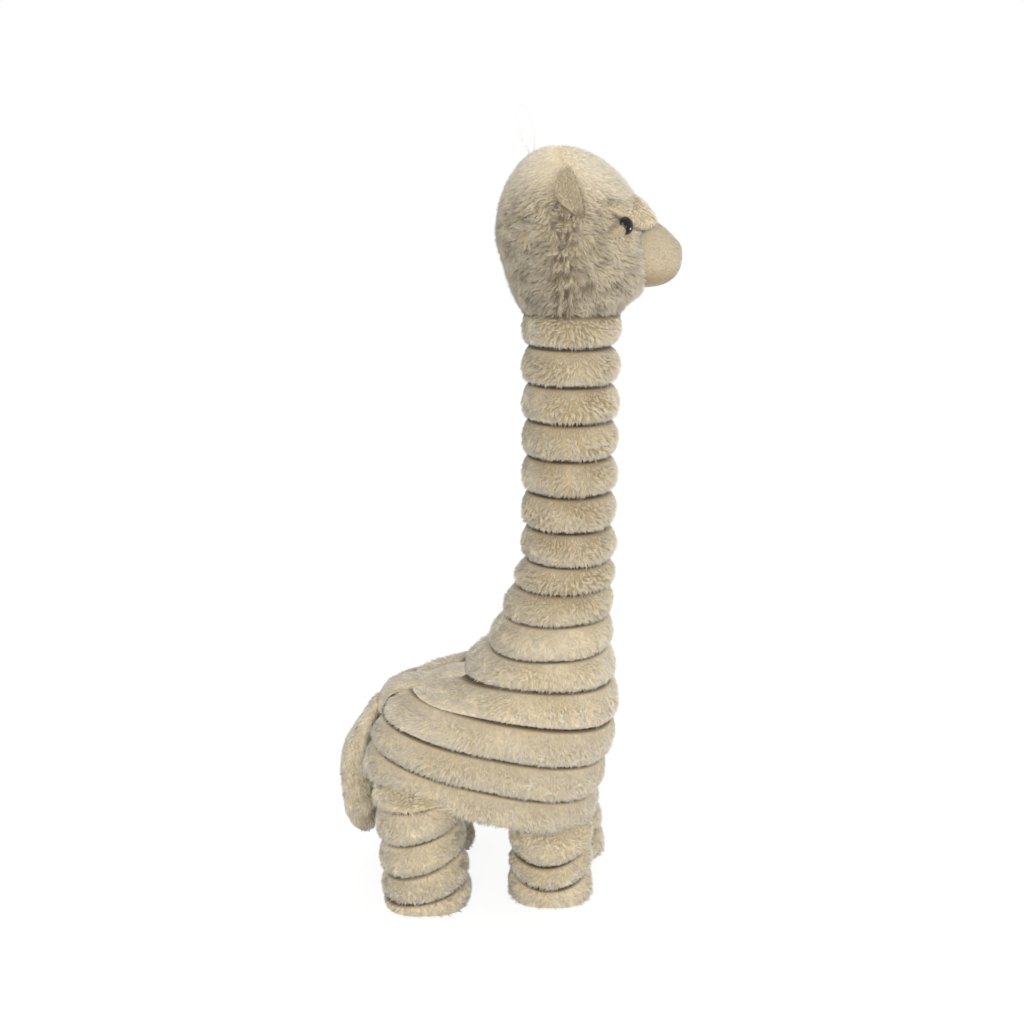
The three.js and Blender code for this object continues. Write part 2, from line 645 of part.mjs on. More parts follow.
for (const { name, side } of SIDES) {
  const level = headLevel(EAR_Z, 0);
  const earReach = level.halfWidth + SEAM_GAP * 1.5 + EAR_LAYER;
  const root = level.center.clone();
  root.y += side * earReach;
  const ear = movingGroup(`ear_${name}_root`, head, root);
  const layers = [["ear_lining", SEAM_GAP / 2, VELOUR], ["ear_outer", -SEAM_GAP / 2 - EAR_LAYER, FUR]];
  for (const [layer, start, material] of layers) {
    const geometry = earLayer(side * start, side).translate(root.x, root.y, root.z);
    addPiece(ear, `${layer}_${name}`, geometry, material);
  }
}

// Hanging loop
const loopLine = new THREE.CatmullRomCurve3(LOOP_ROUTE.map(([x, z]) => headAt(LOOP_X + x, 0, LOOP_Z + z)));
const threadSection = new THREE.Shape();
threadSection.absarc(0, 0, LOOP_DIAMETER / 2, 0, 2 * Math.PI);
const loop = new THREE.ExtrudeGeometry(threadSection, { extrudePath: loopLine, steps: 32, curveSegments: 4 });
addPiece(head, "hang_loop", loop, THREAD);

// The origin is on the floor, under the middle of the llama without its loop
const box = new THREE.Box3();
llama.updateMatrixWorld(true);
llama.traverse((piece) => {
  if (piece.isMesh && piece.name !== "hang_loop") {
    box.expandByObject(piece);
  }
});
const middle = box.getCenter(new THREE.Vector3());
llama.position.set(-middle.x, -middle.y, -box.min.z);

const model = new THREE.Group();
model.add(llama);
export default model;
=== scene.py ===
import math
from collections import namedtuple

import bpy
import numpy as np
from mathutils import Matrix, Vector


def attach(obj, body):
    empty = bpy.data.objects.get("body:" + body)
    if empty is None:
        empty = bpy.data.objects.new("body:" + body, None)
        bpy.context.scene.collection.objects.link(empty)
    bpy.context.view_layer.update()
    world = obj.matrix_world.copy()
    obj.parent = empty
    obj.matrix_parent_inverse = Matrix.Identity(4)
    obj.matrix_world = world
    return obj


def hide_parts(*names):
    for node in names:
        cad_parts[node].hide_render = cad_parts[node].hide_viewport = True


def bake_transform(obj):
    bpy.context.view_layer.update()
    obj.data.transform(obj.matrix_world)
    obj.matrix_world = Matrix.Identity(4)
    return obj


# A stuffed llama with a long ringed neck: plush rolls, a furry head and a velour muzzle.
# Lengths are in millimetres unless a comment says otherwise. The llama faces +X and +Z is up.
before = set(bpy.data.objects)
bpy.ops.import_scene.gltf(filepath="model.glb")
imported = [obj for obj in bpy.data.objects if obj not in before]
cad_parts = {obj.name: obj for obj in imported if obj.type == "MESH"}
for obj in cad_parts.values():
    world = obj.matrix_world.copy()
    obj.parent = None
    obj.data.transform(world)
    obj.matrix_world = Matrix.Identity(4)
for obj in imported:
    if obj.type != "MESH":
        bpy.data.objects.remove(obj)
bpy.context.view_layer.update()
MM = 0.001

# Camera, fitted to the photograph's outline
CAMERA_PLACE = (8.55, -894.0, 558.0)
CAMERA_PITCH = 14.9  # degrees below the horizon
FOCAL_PIXELS = 1150.0
FRAME_PIXELS = 1024.0

# Covers, as in the solids
SHIFT_X = 8.552  # from the solids' own drawing to the shared frame
GROOVE_DEPTH = 7.0
COVER_WALL = 6.0
SEAM_GAP = 0.4
FABRIC = 1.0  # thickness of the backing cloth

# Neck
NECK_RADIUS = 39.0
NECK_X = 46.0
NECK_RINGS = 9
STRAIGHT_RINGS = 7
RING_PITCH = 28.6
RING_CROWDING = 1.13
FLARE_Z = 283.0

# Body
BODY_RINGS = 6
BODY_HALF_WIDTH = 72.0
BODY_SQUARENESS = 2.5
BACK_POINTS = [
    (NECK_X - NECK_RADIUS, FLARE_Z), (-25.0, 206.0), (-60.0, 190.0), (-107.0, 170.0), (-128.0, 104.0)]
CHEST_POINTS = [(NECK_X + NECK_RADIUS, FLARE_Z), (84.0, 205.0), (91.0, 155.0), (71.0, 66.0)]
SPINE_HALF_WIDTH = 17.0
SPINE_START = 0.38

# Legs. Places along a leg run from 0 at the hip to 1 on the floor. seams are its grooves: each one's place,
# and its rise to the front in degrees. drape is how far a groove hangs lower on the flanks than at front and
# back, and foot_shade how far the painted shadow above the foot reaches below its groove.
Leg = namedtuple("Leg", "hip_x foot_x y half_length half_width top seams drape foot_shade")
REAR_LEG = Leg(
    hip_x=-77.0, foot_x=-71.0, y=44.0, half_length=38.0, half_width=36.0, top=-0.09,
    seams=((-0.01, 11.0), (0.3, 15.0), (0.6, 17.0), (0.87, 10.0)), drape=0.0, foot_shade=1.2)
FRONT_LEG = Leg(
    hip_x=33.0, foot_x=32.0, y=34.5, half_length=36.5, half_width=33.5, top=-0.1,
    seams=((0.44, 8.0), (0.72, 2.0)), drape=6.0, foot_shade=2.2)
LEFT_HIP_STEP = 7.0
LEFT_FOOT_STEP = 16.0

# Head, measured from the neck seam
HEAD_HALF_LENGTH = 57.0
HEAD_HALF_WIDTH = 54.0
HEAD_SEAM_RADIUS = 43.0
HEAD_WIDE_Z = 52.5
HEAD_CROWN = 65.0
HEAD_SET_BACK = -2.0
CROWN_LEAN = -9.0
CHEEK_POWER = 2.2
FACE_SEAM_X = -9.0
MUZZLE_REACH = 83.5
MUZZLE_NOSE = 30.0
MUZZLE_HALF_HEIGHT = 23.0
MUZZLE_HALF_WIDTH = 24.0
MUZZLE_Z = 38.5
BROW_X = 34.0
BROW_Z = 78.6
BROW_HALF_LENGTH = 35.0
BROW_HALF_WIDTH = 45.0
BROW_HALF_DEPTH = 12.0
BROW_SLOPE = 35.0
EYE_RADIUS = 6.5
EYE_DOME = 4.5
EYE_Z = 61.0
EYE_ANGLE = 48.0
EAR_HEIGHT = 38.0
EAR_LAYER = 2.2
EAR_Z = 66.3
EAR_LEAN = 9.0

# Tail
TAIL_HALF_DEPTH = 9.5
TAIL_ROOT_HALF_DEPTH = 5.0
TAIL_ROOT_HALF_WIDTH = 14.0
TAIL_HALF_WIDTH = 20.0
TAIL_TIP_Z = 40.0
TAIL_TUCK = 5.0
TAIL_ROOT = 0.77

# Hanging loop, from its place on the head
LOOP_DIAMETER = 1.2
LOOP_X = -31.0
LOOP_Z = 113.9
LOOP_ROUTE = [
    (1.3, 0), (1.3, 4.5), (1.3, 9), (1.2, 13.5), (0.9, 18), (0, 22.5), (-1.6, 27), (-4.2, 31), (-7.6, 33),
    (-10.6, 31.4), (-12.2, 27.6), (-12.4, 23), (-11.4, 18), (-9.6, 13), (-7.2, 8), (-4.4, 3.4), (-2.2, -1.5),
]

# Pile
RING_SKIN = 2.8  # backing cloth under the settled pile at the crest of a ring
GROOVE_SKIN = 9.0  # and in a groove
NAPE_SKIN = 6.0  # and in a groove at the back of the neck
SEAM_SKIN = 15.0  # and at the stitched edge inside a groove
HEAD_SKIN = 3.4
STRAND_WIDTH = 0.62
TUFT_SIZE = 3.0
PLUSH_DENSITY = 1.1  # strands on a square millimetre

NECK_TOP = np.array([NECK_X + SHIFT_X, 0.0, FLARE_Z + STRAIGHT_RINGS * RING_PITCH])
SIDES = (("right", -1), ("left", 1))

# Seeds of the random draws: of each piece's pile, then of fields that vary smoothly over space
SALTS = {
    "neck": 100, "body": 300, "legs": 500, "belly": 620, "spine": 640, "tail": 660, "head_back": 700,
    "head_face": 720, "brow": 740, "muzzle": 760, "ear_lining": 800, "ear_outer": 820,
    "ruffle": 7, "specks": 11, "mottle": 13, "blotches": 17, "lumps": 900, "fine_lumps": 930,
}

# Floor and light, in metres and watts
STUDIO_COLOUR = (1.0, 0.99, 0.975, 1.0)
STUDIO_STRENGTH = 0.62
FLOOR_REACH = 6.0
FLOOR_COLOUR = (0.9, 0.9, 0.9, 1.0)
FLOOR_GLOW = 1.03
SHADOW_KEPT = 0.14  # share of the floor's own shading that shows under the llama
SHADOW_FADE = (0.22, 0.75)  # distances between which that share falls to nothing
LAMP_COLOUR = (1.0, 0.985, 0.965)
# Each lamp's name, place, target, size and power
LAMPS = [
    ("key", (-0.45, -2.1, 1.25), (0.0, 0.0, 0.25), 1.6, 40.0),
    ("fill", (0.9, -1.6, 0.25), (0.0, 0.0, 0.1), 1.0, 12.0),
    ("top", (0.1, 0.3, 2.1), (0.0, 0.0, 0.35), 1.4, 5.0),
    ("back", (0.7, 2.2, 1.1), (0.0, 0.0, 0.25), 1.6, 26.0),
    ("spark", (0.959, 0.033, 0.308), (0.094, -0.043, 0.542), 0.16, 2.4),
]


# Camera, floor and light
def place_camera():
    data = bpy.data.cameras.new("camera")
    data.sensor_width = 36.0
    data.lens = FOCAL_PIXELS / FRAME_PIXELS * data.sensor_width
    camera = bpy.data.objects.new("camera", data)
    camera.location = [value * MM for value in CAMERA_PLACE]
    camera.rotation_euler = (math.radians(90.0 - CAMERA_PITCH), 0.0, 0.0)
    bpy.context.scene.collection.objects.link(camera)
    bpy.context.scene.camera = camera


def linear(red, green, blue):
    """A colour written as 0 to 255, as the shader's linear numbers."""
    def one(value):
        value = value / 255.0
        return value / 12.92 if value <= 0.04045 else ((value + 0.055) / 1.055) ** 2.4
    return (one(red), one(green), one(blue), 1.0)


def plug(tree, socket, value):
    """Links a socket to another one, or sets it to a plain value."""
    if hasattr(value, "is_output"):
        tree.links.new(value, socket)
    else:
        socket.default_value = value


def set_inputs(tree, node, values):
    for name, value in values.items():
        plug(tree, node.inputs[name], value)


def maths(tree, operation, first, second):
    node = tree.nodes.new("ShaderNodeMath")
    node.operation = operation
    plug(tree, node.inputs[0], first)
    plug(tree, node.inputs[1], second)
    return node.outputs[0]


def object_place(tree):
    return tree.nodes.new("ShaderNodeTexCoord").outputs["Object"]


def backdrop_mix(tree, lit, glow_strength, share):
    """A shader that shows white to the camera and in reflections, and lights the object as lit does."""
    path = tree.nodes.new("ShaderNodeLightPath").outputs
    seen = maths(tree, "MAXIMUM", path["Is Camera Ray"], path["Is Glossy Ray"])
    seen = maths(tree, "MAXIMUM", seen, path["Is Transmission Ray"])
    glow = tree.nodes.new("ShaderNodeBackground" if lit.type == "BACKGROUND" else "ShaderNodeEmission")
    set_inputs(tree, glow, {"Color": (1.0, 1.0, 1.0, 1.0), "Strength": glow_strength})
    mix = tree.nodes.new("ShaderNodeMixShader")
    parts = (maths(tree, "MULTIPLY", seen, share), lit.outputs[0], glow.outputs[0])
    for socket, value in zip(mix.inputs, parts):
        tree.links.new(value, socket)
    return mix.outputs[0]


def light_stage():
    scene = bpy.context.scene
    scene.view_settings.view_transform = "Standard"
    world = bpy.data.worlds.new("studio")
    scene.world = world
    world.use_nodes = True
    tree = world.node_tree
    lit = tree.nodes["Background"]
    set_inputs(tree, lit, {"Color": STUDIO_COLOUR, "Strength": STUDIO_STRENGTH})
    tree.links.new(backdrop_mix(tree, lit, 1.0, 1.0), tree.nodes["World Output"].inputs["Surface"])

    floor_mesh = bpy.data.meshes.new("floor")
    corners = [(x * FLOOR_REACH, y * FLOOR_REACH, 0) for x, y in ((-1, -1), (1, -1), (1, 1), (-1, 1))]
    floor_mesh.from_pydata(corners, [], [(0, 1, 2, 3)])
    floor = bpy.data.objects.new("floor", floor_mesh)
    scene.collection.objects.link(floor)
    paint, tree, lit = shader("floor_paint", 0.9)
    lit.inputs["Base Color"].default_value = FLOOR_COLOUR
    far = tree.nodes.new("ShaderNodeVectorMath")
    far.operation = "LENGTH"
    tree.links.new(object_place(tree), far.inputs[0])
    share = tree.nodes.new("ShaderNodeMapRange")
    set_inputs(tree, share, {
        "From Min": SHADOW_FADE[0], "From Max": SHADOW_FADE[1], "To Min": 1.0 - SHADOW_KEPT,
        "Value": far.outputs["Value"]})
    mix = backdrop_mix(tree, lit, FLOOR_GLOW, share.outputs[0])
    tree.links.new(mix, tree.nodes["Material Output"].inputs["Surface"])
    floor_mesh.materials.append(paint)

    for name, place, target, size, watts in LAMPS:
        data = bpy.data.lights.new(name, "AREA")
        data.size = size
        data.energy = watts
        data.color = LAMP_COLOUR
        lamp = bpy.data.objects.new(name, data)
        lamp.location = place
        lamp.rotation_euler = (Vector(target) - Vector(place)).to_track_quat("-Z", "Y").to_euler()
        scene.collection.objects.link(lamp)


# Materials
def shader(name, roughness):
    material = bpy.data.materials.new(name)
    material.use_nodes = True
    tree = material.node_tree
    surface = tree.nodes["Principled BSDF"]
    surface.inputs["Roughness"].default_value = roughness
    return material, tree, surface


def ramp(tree, source, stops):
    """Colours along a value, from stops of (place, colour)."""
    node = tree.nodes.new("ShaderNodeValToRGB")
    elements = node.color_ramp.elements
    while len(elements) < len(stops):
        elements.new(0.5)
    for element, (place, colour) in zip(elements, stops):
        element.position = place
        element.color = linear(*colour)
    tree.links.new(source, node.inputs[0])
    return node.outputs[0]


def mixed(tree, share, first, second):
    node = tree.nodes.new("ShaderNodeMix")
    node.data_type = "RGBA"
    for socket, value in ((node.inputs[0], share), (node.inputs[6], first), (node.inputs[7], second)):
        plug(tree, socket, value)
    return node.outputs[2]


def noise(tree, scale, detail=2.0):
    node = tree.nodes.new("ShaderNodeTexNoise")
    set_inputs(tree, node, {"Scale": scale, "Detail": detail, "Vector": object_place(tree)})
    return node.outputs["Fac"]


def spread_value(tree, source, low, high):
    node = tree.nodes.new("ShaderNodeMapRange")
    set_inputs(tree, node, {"To Min": low, "To Max": high, "Value": source})
    return node.outputs[0]


def coat_parts(tree):
    """A point's coat values: its place along a strand, its tuft's tint, and its darkening, which is painted
    shade in grooves and under overhangs and a darker tone elsewhere.
    """
    coat = tree.nodes.new("ShaderNodeAttribute")
    coat.attribute_name = "coat"
    parts = tree.nodes.new("ShaderNodeSeparateColor")
    tree.links.new(coat.outputs["Color"], parts.inputs[0])
    return parts.outputs


def tinted(tree, values):
    node = tree.nodes.new("ShaderNodeHueSaturation")
    set_inputs(tree, node, values)
    return node.outputs["Color"]


def bumpy(tree, surface, height, distance, strength=1.0):
    """A relief that follows height and is as deep as distance, in metres."""
    bump = tree.nodes.new("ShaderNodeBump")
    set_inputs(tree, bump, {"Strength": strength, "Distance": distance, "Height": height})
    tree.links.new(bump.outputs[0], surface.inputs["Normal"])


def plush_material(name, root, middle, tip, groove):
    """Pile whose colour runs from root to tip, differs a little between tufts, and is mixed towards groove, a
    dark brown: painted shade in grooves and under overhangs, and a darker tone in places.
    """
    material, tree, surface = shader(name, 0.88)
    along, tint, seam = coat_parts(tree)
    pile = tinted(tree, {
        "Color": ramp(tree, along, [(0.0, root), (0.45, middle), (1.0, tip)]),
        "Value": spread_value(tree, tint, 0.76, 1.2),
        "Saturation": spread_value(tree, noise(tree, 28.0), 0.85, 1.15)})
    set_inputs(tree, surface, {
        "Base Color": mixed(tree, seam, pile, linear(*groove)), "Sheen Weight": 0.25, "Sheen Roughness": 0.5,
        "Specular IOR Level": 0.25})
    return material


def velour_material(name, low, high, shade):
    """Short dense nap: a fine mottle, a soft bump and a strong sheen, with painted shade mixed in where the
    coat darkens it.
    """
    material, tree, surface = shader(name, 0.85)
    nap = tinted(tree, {
        "Color": ramp(tree, noise(tree, 420.0, 4.0), [(0.3, low), (0.7, high)]),
        "Value": spread_value(tree, noise(tree, 60.0), 0.93, 1.06)})
    set_inputs(tree, surface, {
        "Base Color": mixed(tree, coat_parts(tree)[2], nap, linear(*shade)), "Sheen Weight": 0.45,
        "Sheen Roughness": 0.4, "Specular IOR Level": 0.2})
    bumpy(tree, surface, noise(tree, 900.0, 3.0), 0.0006, 0.35)
    return material


def mottled_material(name, roughness, source, stops):
    """One colour that wanders between two, along what source makes in the material's tree."""
    material, tree, surface = shader(name, roughness)
    tree.links.new(ramp(tree, source(tree), stops), surface.inputs["Base Color"])
    return material, tree, surface


def fibre_material():
    material, tree, surface = mottled_material(
        "fibre", 0.95, lambda tree: noise(tree, 300.0, 6.0), [(0.3, (214, 212, 205)), (0.7, (246, 245, 240))])
    bumpy(tree, surface, noise(tree, 260.0, 6.0), 0.002)
    return material


def eye_material():
    material, _, surface = mottled_material(
        "eye_black", 0.05, lambda tree: noise(tree, 200.0), [(0.4, (6, 5, 5)), (0.6, (14, 11, 9))])
    surface.inputs["Specular IOR Level"].default_value = 0.3
    return material


def twist(tree):
    node = tree.nodes.new("ShaderNodeTexWave")
    node.bands_direction = "DIAGONAL"
    set_inputs(tree, node, {"Scale": 420.0, "Vector": object_place(tree)})
    return node.outputs["Fac"]


def thread_material():
    """White twisted thread."""
    material, _, surface = mottled_material(
        "thread", 0.45, twist, [(0.2, (206, 206, 202)), (0.8, (220, 220, 216))])
    surface.inputs["Sheen Weight"].default_value = 0.3
    return material


place_camera()
light_stage()
# The last colour, a dark brown, is the painted shade of the grooves and of the pile under overhangs.
PLUSH = plush_material("plush", (122, 100, 56), (213, 199, 169), (248, 243, 230), (58, 38, 10))
VELOUR = velour_material("velour", (160, 147, 124), (173, 160, 137), (126, 103, 72))
FIBRE = fibre_material()
EYE_BLACK = eye_material()
PLASTIC, _, _ = mottled_material(
    "washer_plastic", 0.45, lambda tree: noise(tree, 150.0), [(0.3, (222, 222, 216)), (0.7, (236, 236, 232))])
THREAD = thread_material()


# Pieces
def finish_piece(piece, body, node, material_slot, fill=None, sewn_to=None):
    """sewn_to is the body that the piece is sewn to, and two places along the piece; when it is given, the
    piece is left unparented with its placement applied.
    """
    if sewn_to is None:
        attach(piece, body)
    else:
        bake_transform(piece)
    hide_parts(node)


def new_object(name, mesh):
    piece = bpy.data.objects.new(name, mesh)
    bpy.context.scene.collection.objects.link(piece)
    return piece


def head_place(x, y, z):
    return NECK_TOP + np.array([x, y, z])


# Hanging loop
def hanging_loop():
    curve = bpy.data.curves.new("hang_loop_thread", "CURVE")
    curve.dimensions = "3D"
    curve.bevel_depth = LOOP_DIAMETER / 2 * MM
    curve.bevel_resolution = 4
    curve.use_fill_caps = True
    spline = curve.splines.new("POLY")
    route = smooth_line([tuple(head_place(LOOP_X + x, 0.0, LOOP_Z + z)) for x, z in LOOP_ROUTE], 96)
    spline.points.add(len(route) - 1)
    for point, place in zip(spline.points, route):
        point.co = (*(place * MM), 1.0)
    curve.materials.append(THREAD)
    piece = new_object("hang_loop_thread", curve)
    finish_piece(piece, "head", "hang_loop", "thread")


# Lines and outlines
def unit(vectors):
    """The same vectors with length 1."""
    return vectors / np.maximum(np.linalg.norm(vectors, axis=-1, keepdims=True), 1e-9)


def length_of(line):
    return float(np.linalg.norm(np.diff(line, axis=0), axis=1).sum())


def spline_points(points, count):
    """Points along a uniform spline through the given ones."""
    points = np.array(points, float)
    last = len(points) - 1
    place = np.linspace(0.0, last, count)
    start = np.minimum(place.astype(int), last - 1)
    share = (place - start)[:, None]
    before = points[np.maximum(start - 1, 0)]
    here = points[start]
    there = points[start + 1]
    after = points[np.minimum(start + 2, last)]
    leave = (there - before) / 2
    arrive = (after - here) / 2
    square = share ** 2
    cube = share ** 3
    return ((2 * here - 2 * there + leave + arrive) * cube
            + (-3 * here + 3 * there - 2 * leave - arrive) * square + leave * share + here)


def smooth_line(points, count):
    """Evenly spaced points along a spline."""
    fine = spline_points(points, 1600)
    steps = np.linalg.norm(np.diff(fine, axis=0), axis=1)
    reach = np.concatenate([[0.0], np.cumsum(steps)])
    wanted = np.linspace(0.0, reach[-1], count)
    return np.stack([np.interp(wanted, reach, fine[:, axis]) for axis in range(fine.shape[1])], 1)


LINE_STEPS = 2000
BACK_LINE = smooth_line(BACK_POINTS, LINE_STEPS + 1)
CHEST_LINE = smooth_line(CHEST_POINTS, LINE_STEPS + 1)
BACK_LENGTH = length_of(BACK_LINE)
SPINE_END = TAIL_ROOT + TAIL_ROOT_HALF_DEPTH / BACK_LENGTH


def on_line(line, share):
    place = np.clip(share, 0.0, 1.0) * LINE_STEPS
    return np.array([np.interp(place, np.arange(LINE_STEPS + 1), line[:, axis]) for axis in range(2)])


def tangent_of(line, share):
    ahead = on_line(line, min(1.0, share + 0.002)) - on_line(line, max(0.0, share - 0.002))
    return ahead / np.linalg.norm(ahead)


Plane = namedtuple("Plane", "x y z tilt half_length half_width power drape")


def smoothstep(value, low, high):
    share = np.clip((value - low) / (high - low), 0.0, 1.0)
    return share * share * (3 - 2 * share)


def groove_through(rear_share, front_share, lift=0.0, front_drop=0.0):
    """The plane of a groove from a place on the back line to one on the chest line."""
    rear = on_line(BACK_LINE, rear_share)
    front = on_line(CHEST_LINE, front_share) - np.array([0.0, front_drop])
    swell = float(smoothstep((rear_share + front_share) / 2, 0.0, 0.75))
    reach = front - rear
    return Plane(
        (rear[0] + front[0]) / 2 + SHIFT_X, 0.0, (rear[1] + front[1]) / 2 + lift,
        math.atan2(reach[1], reach[0]), float(np.hypot(*reach)) / 2,
        NECK_RADIUS + (BODY_HALF_WIDTH - NECK_RADIUS) * swell,
        2 + (BODY_SQUARENESS - 2) * swell, 0.0)


def groove_at(index):
    flared = NECK_RINGS - STRAIGHT_RINGS + BODY_RINGS
    share = max(0.0, (index - STRAIGHT_RINGS) / flared) ** RING_CROWDING
    return groove_through(share, share, lift=max(0, STRAIGHT_RINGS - index) * RING_PITCH)


def between(upper, lower, share):
    return Plane(*[first + (second - first) * share for first, second in zip(upper, lower)])


def rounded(value, power):
    return np.sign(value) * np.abs(value) ** (2 / power)


def outline(plane, depth, angles, rise=0.0):
    along = (plane.half_length - depth) * rounded(np.cos(angles), plane.power)
    x = plane.x + along * math.cos(plane.tilt) - rise * math.sin(plane.tilt)
    y = plane.y + (plane.half_width - depth) * rounded(np.sin(angles), plane.power)
    z = plane.z + along * math.sin(plane.tilt) + rise * math.cos(plane.tilt)
    z = z - plane.drape * (np.sin(angles) ** 2 - 0.5)
    return np.stack([x, y, z], 1)


def even_rows(rows, count):
    """The same surface with rows that are evenly spaced on the average."""
    rows = np.array(rows)
    steps = np.linalg.norm(np.diff(rows, axis=0), axis=2).mean(1)
    reach = np.concatenate([[0.0], np.cumsum(steps)])
    wanted = np.linspace(0.0, reach[-1], count)
    place = np.interp(wanted, reach, np.arange(len(rows)))
    upper = np.minimum(place.astype(int), len(rows) - 2)
    share = (place - upper)[:, None, None]
    return rows[upper] * (1 - share) + rows[upper + 1] * share


def full_turn(columns):
    return np.arange(columns) * (2 * math.pi / columns)


# Pile
class Pelt:
    """A patch of backing cloth: a grid of points in rows from top to bottom, with its outward normals."""

    def __init__(self, grid, wraps=True):
        self.grid = np.array(grid, float)
        self.wraps = wraps
        self.rows, self.columns = self.grid.shape[:2]
        if wraps:
            across = (np.roll(self.grid, -1, 1) - np.roll(self.grid, 1, 1)) / 2
        else:
            across = np.gradient(self.grid, axis=1)
        down = np.gradient(self.grid, axis=0)
        self.normal = unit(np.cross(down, across))
        self.across = across
        self.down = down

    def at(self, table, row, column):
        top = np.clip(np.floor(row).astype(int), 0, self.rows - 2)
        left = np.floor(column).astype(int)
        if self.wraps:
            right = (left + 1) % self.columns
            share = (column - left)[:, None]
            left = left % self.columns
        else:
            left = np.clip(left, 0, self.columns - 2)
            right = left + 1
            share = (column - left)[:, None]
        fall = (row - top)[:, None]
        upper = table[top, left] * (1 - share) + table[top, right] * share
        lower = table[top + 1, left] * (1 - share) + table[top + 1, right] * share
        return upper * (1 - fall) + lower * fall

    def scatter(self, density, rng):
        """Places (row, column) spread evenly over the cloth."""
        area = np.linalg.norm(np.cross(self.down, self.across), axis=2)[:-1]
        if not self.wraps:
            area = area[:, :-1]
        reach = np.cumsum(area.ravel())
        count = int(density * reach[-1])
        wanted = (np.arange(count) + rng.random(count)) / count * reach[-1]
        cell = np.minimum(np.searchsorted(reach, wanted), area.size - 1)
        row = cell // area.shape[1] + rng.random(count)
        column = cell % area.shape[1] + rng.random(count)
        return row, column


def hashed(cells, salt):
    """A steady random number from 0 to 1 for each whole-numbered cell."""
    mixed_up = cells[:, 0] * 73856093 ^ cells[:, 1] * 19349663 ^ cells[:, 2] * 83492791 ^ (salt * 2654435761)
    mixed_up = (mixed_up ^ (mixed_up >> 13)) * 1274126177
    return ((mixed_up ^ (mixed_up >> 16)) & 0xFFFFFF) / float(0x1000000)


def tufts(points, size, salt):
    """For each root, the way to the middle of its tuft and three random numbers that the tuft shares."""
    home = np.floor(points / size).astype(np.int64)
    best = np.full(len(points), 1e18)
    way = np.zeros_like(points)
    chosen = home.copy()
    for step in np.ndindex(3, 3, 3):
        cells = home + np.array(step) - 1
        jitter = np.stack([hashed(cells, salt + axis) for axis in range(3)], 1)
        offset = (cells + jitter) * size - points
        far = (offset ** 2).sum(1)
        nearer = far < best
        best = np.where(nearer, far, best)
        way[nearer] = offset[nearer]
        chosen[nearer] = cells[nearer]
    shared = np.stack([hashed(chosen, salt + 3 + number) for number in range(3)], 1)
    return way, shared


def drift(points, wavelength, salt):
    """A smooth field from about -1 to 1 over space."""
    rng = np.random.default_rng(salt)
    total = np.zeros(len(points))
    waves = 7
    for _ in range(waves):
        direction = rng.normal(size=3)
        direction *= 2 * math.pi / wavelength / np.linalg.norm(direction)
        total += np.sin(points @ direction + rng.random() * 2 * math.pi)
    return total / math.sqrt(waves)


Groom = namedtuple("Groom", "keep lay height swirl spread clump seam light")


def groom_for(count, lay, height, spread, clump, light, keep=1.0, swirl=0.0, seam=0.0):
    """How the pile lies, one value for each strand. swirl is in degrees from straight down the grid."""
    values = (keep, lay, height, swirl, spread, clump, seam, light)
    return Groom(*[np.broadcast_to(np.asarray(value, float), (count,)).copy() for value in values])


def even_groom(**values):
    """Pile that is the same all over a patch."""
    return lambda share, turn, points: groom_for(len(share), **values)


def darken(style, seam):
    """Makes the pile at least as dark as the given darkening, which is mostly painted shade."""
    style.seam[:] = np.maximum(style.seam, seam)


CORNERS = ((0.0, 0.62), (-0.5, -0.3), (0.5, -0.3))  # across and out from a strand's middle
STRAND_POINTS = len(CORNERS) + 1
FLOOR_CLEARANCE = 0.4
ROOT_SINK = 0.2  # of a strand's root, into the cloth
TIP_ROWS = 2.0  # rows by which strands may stand out over the upper edge of an open patch


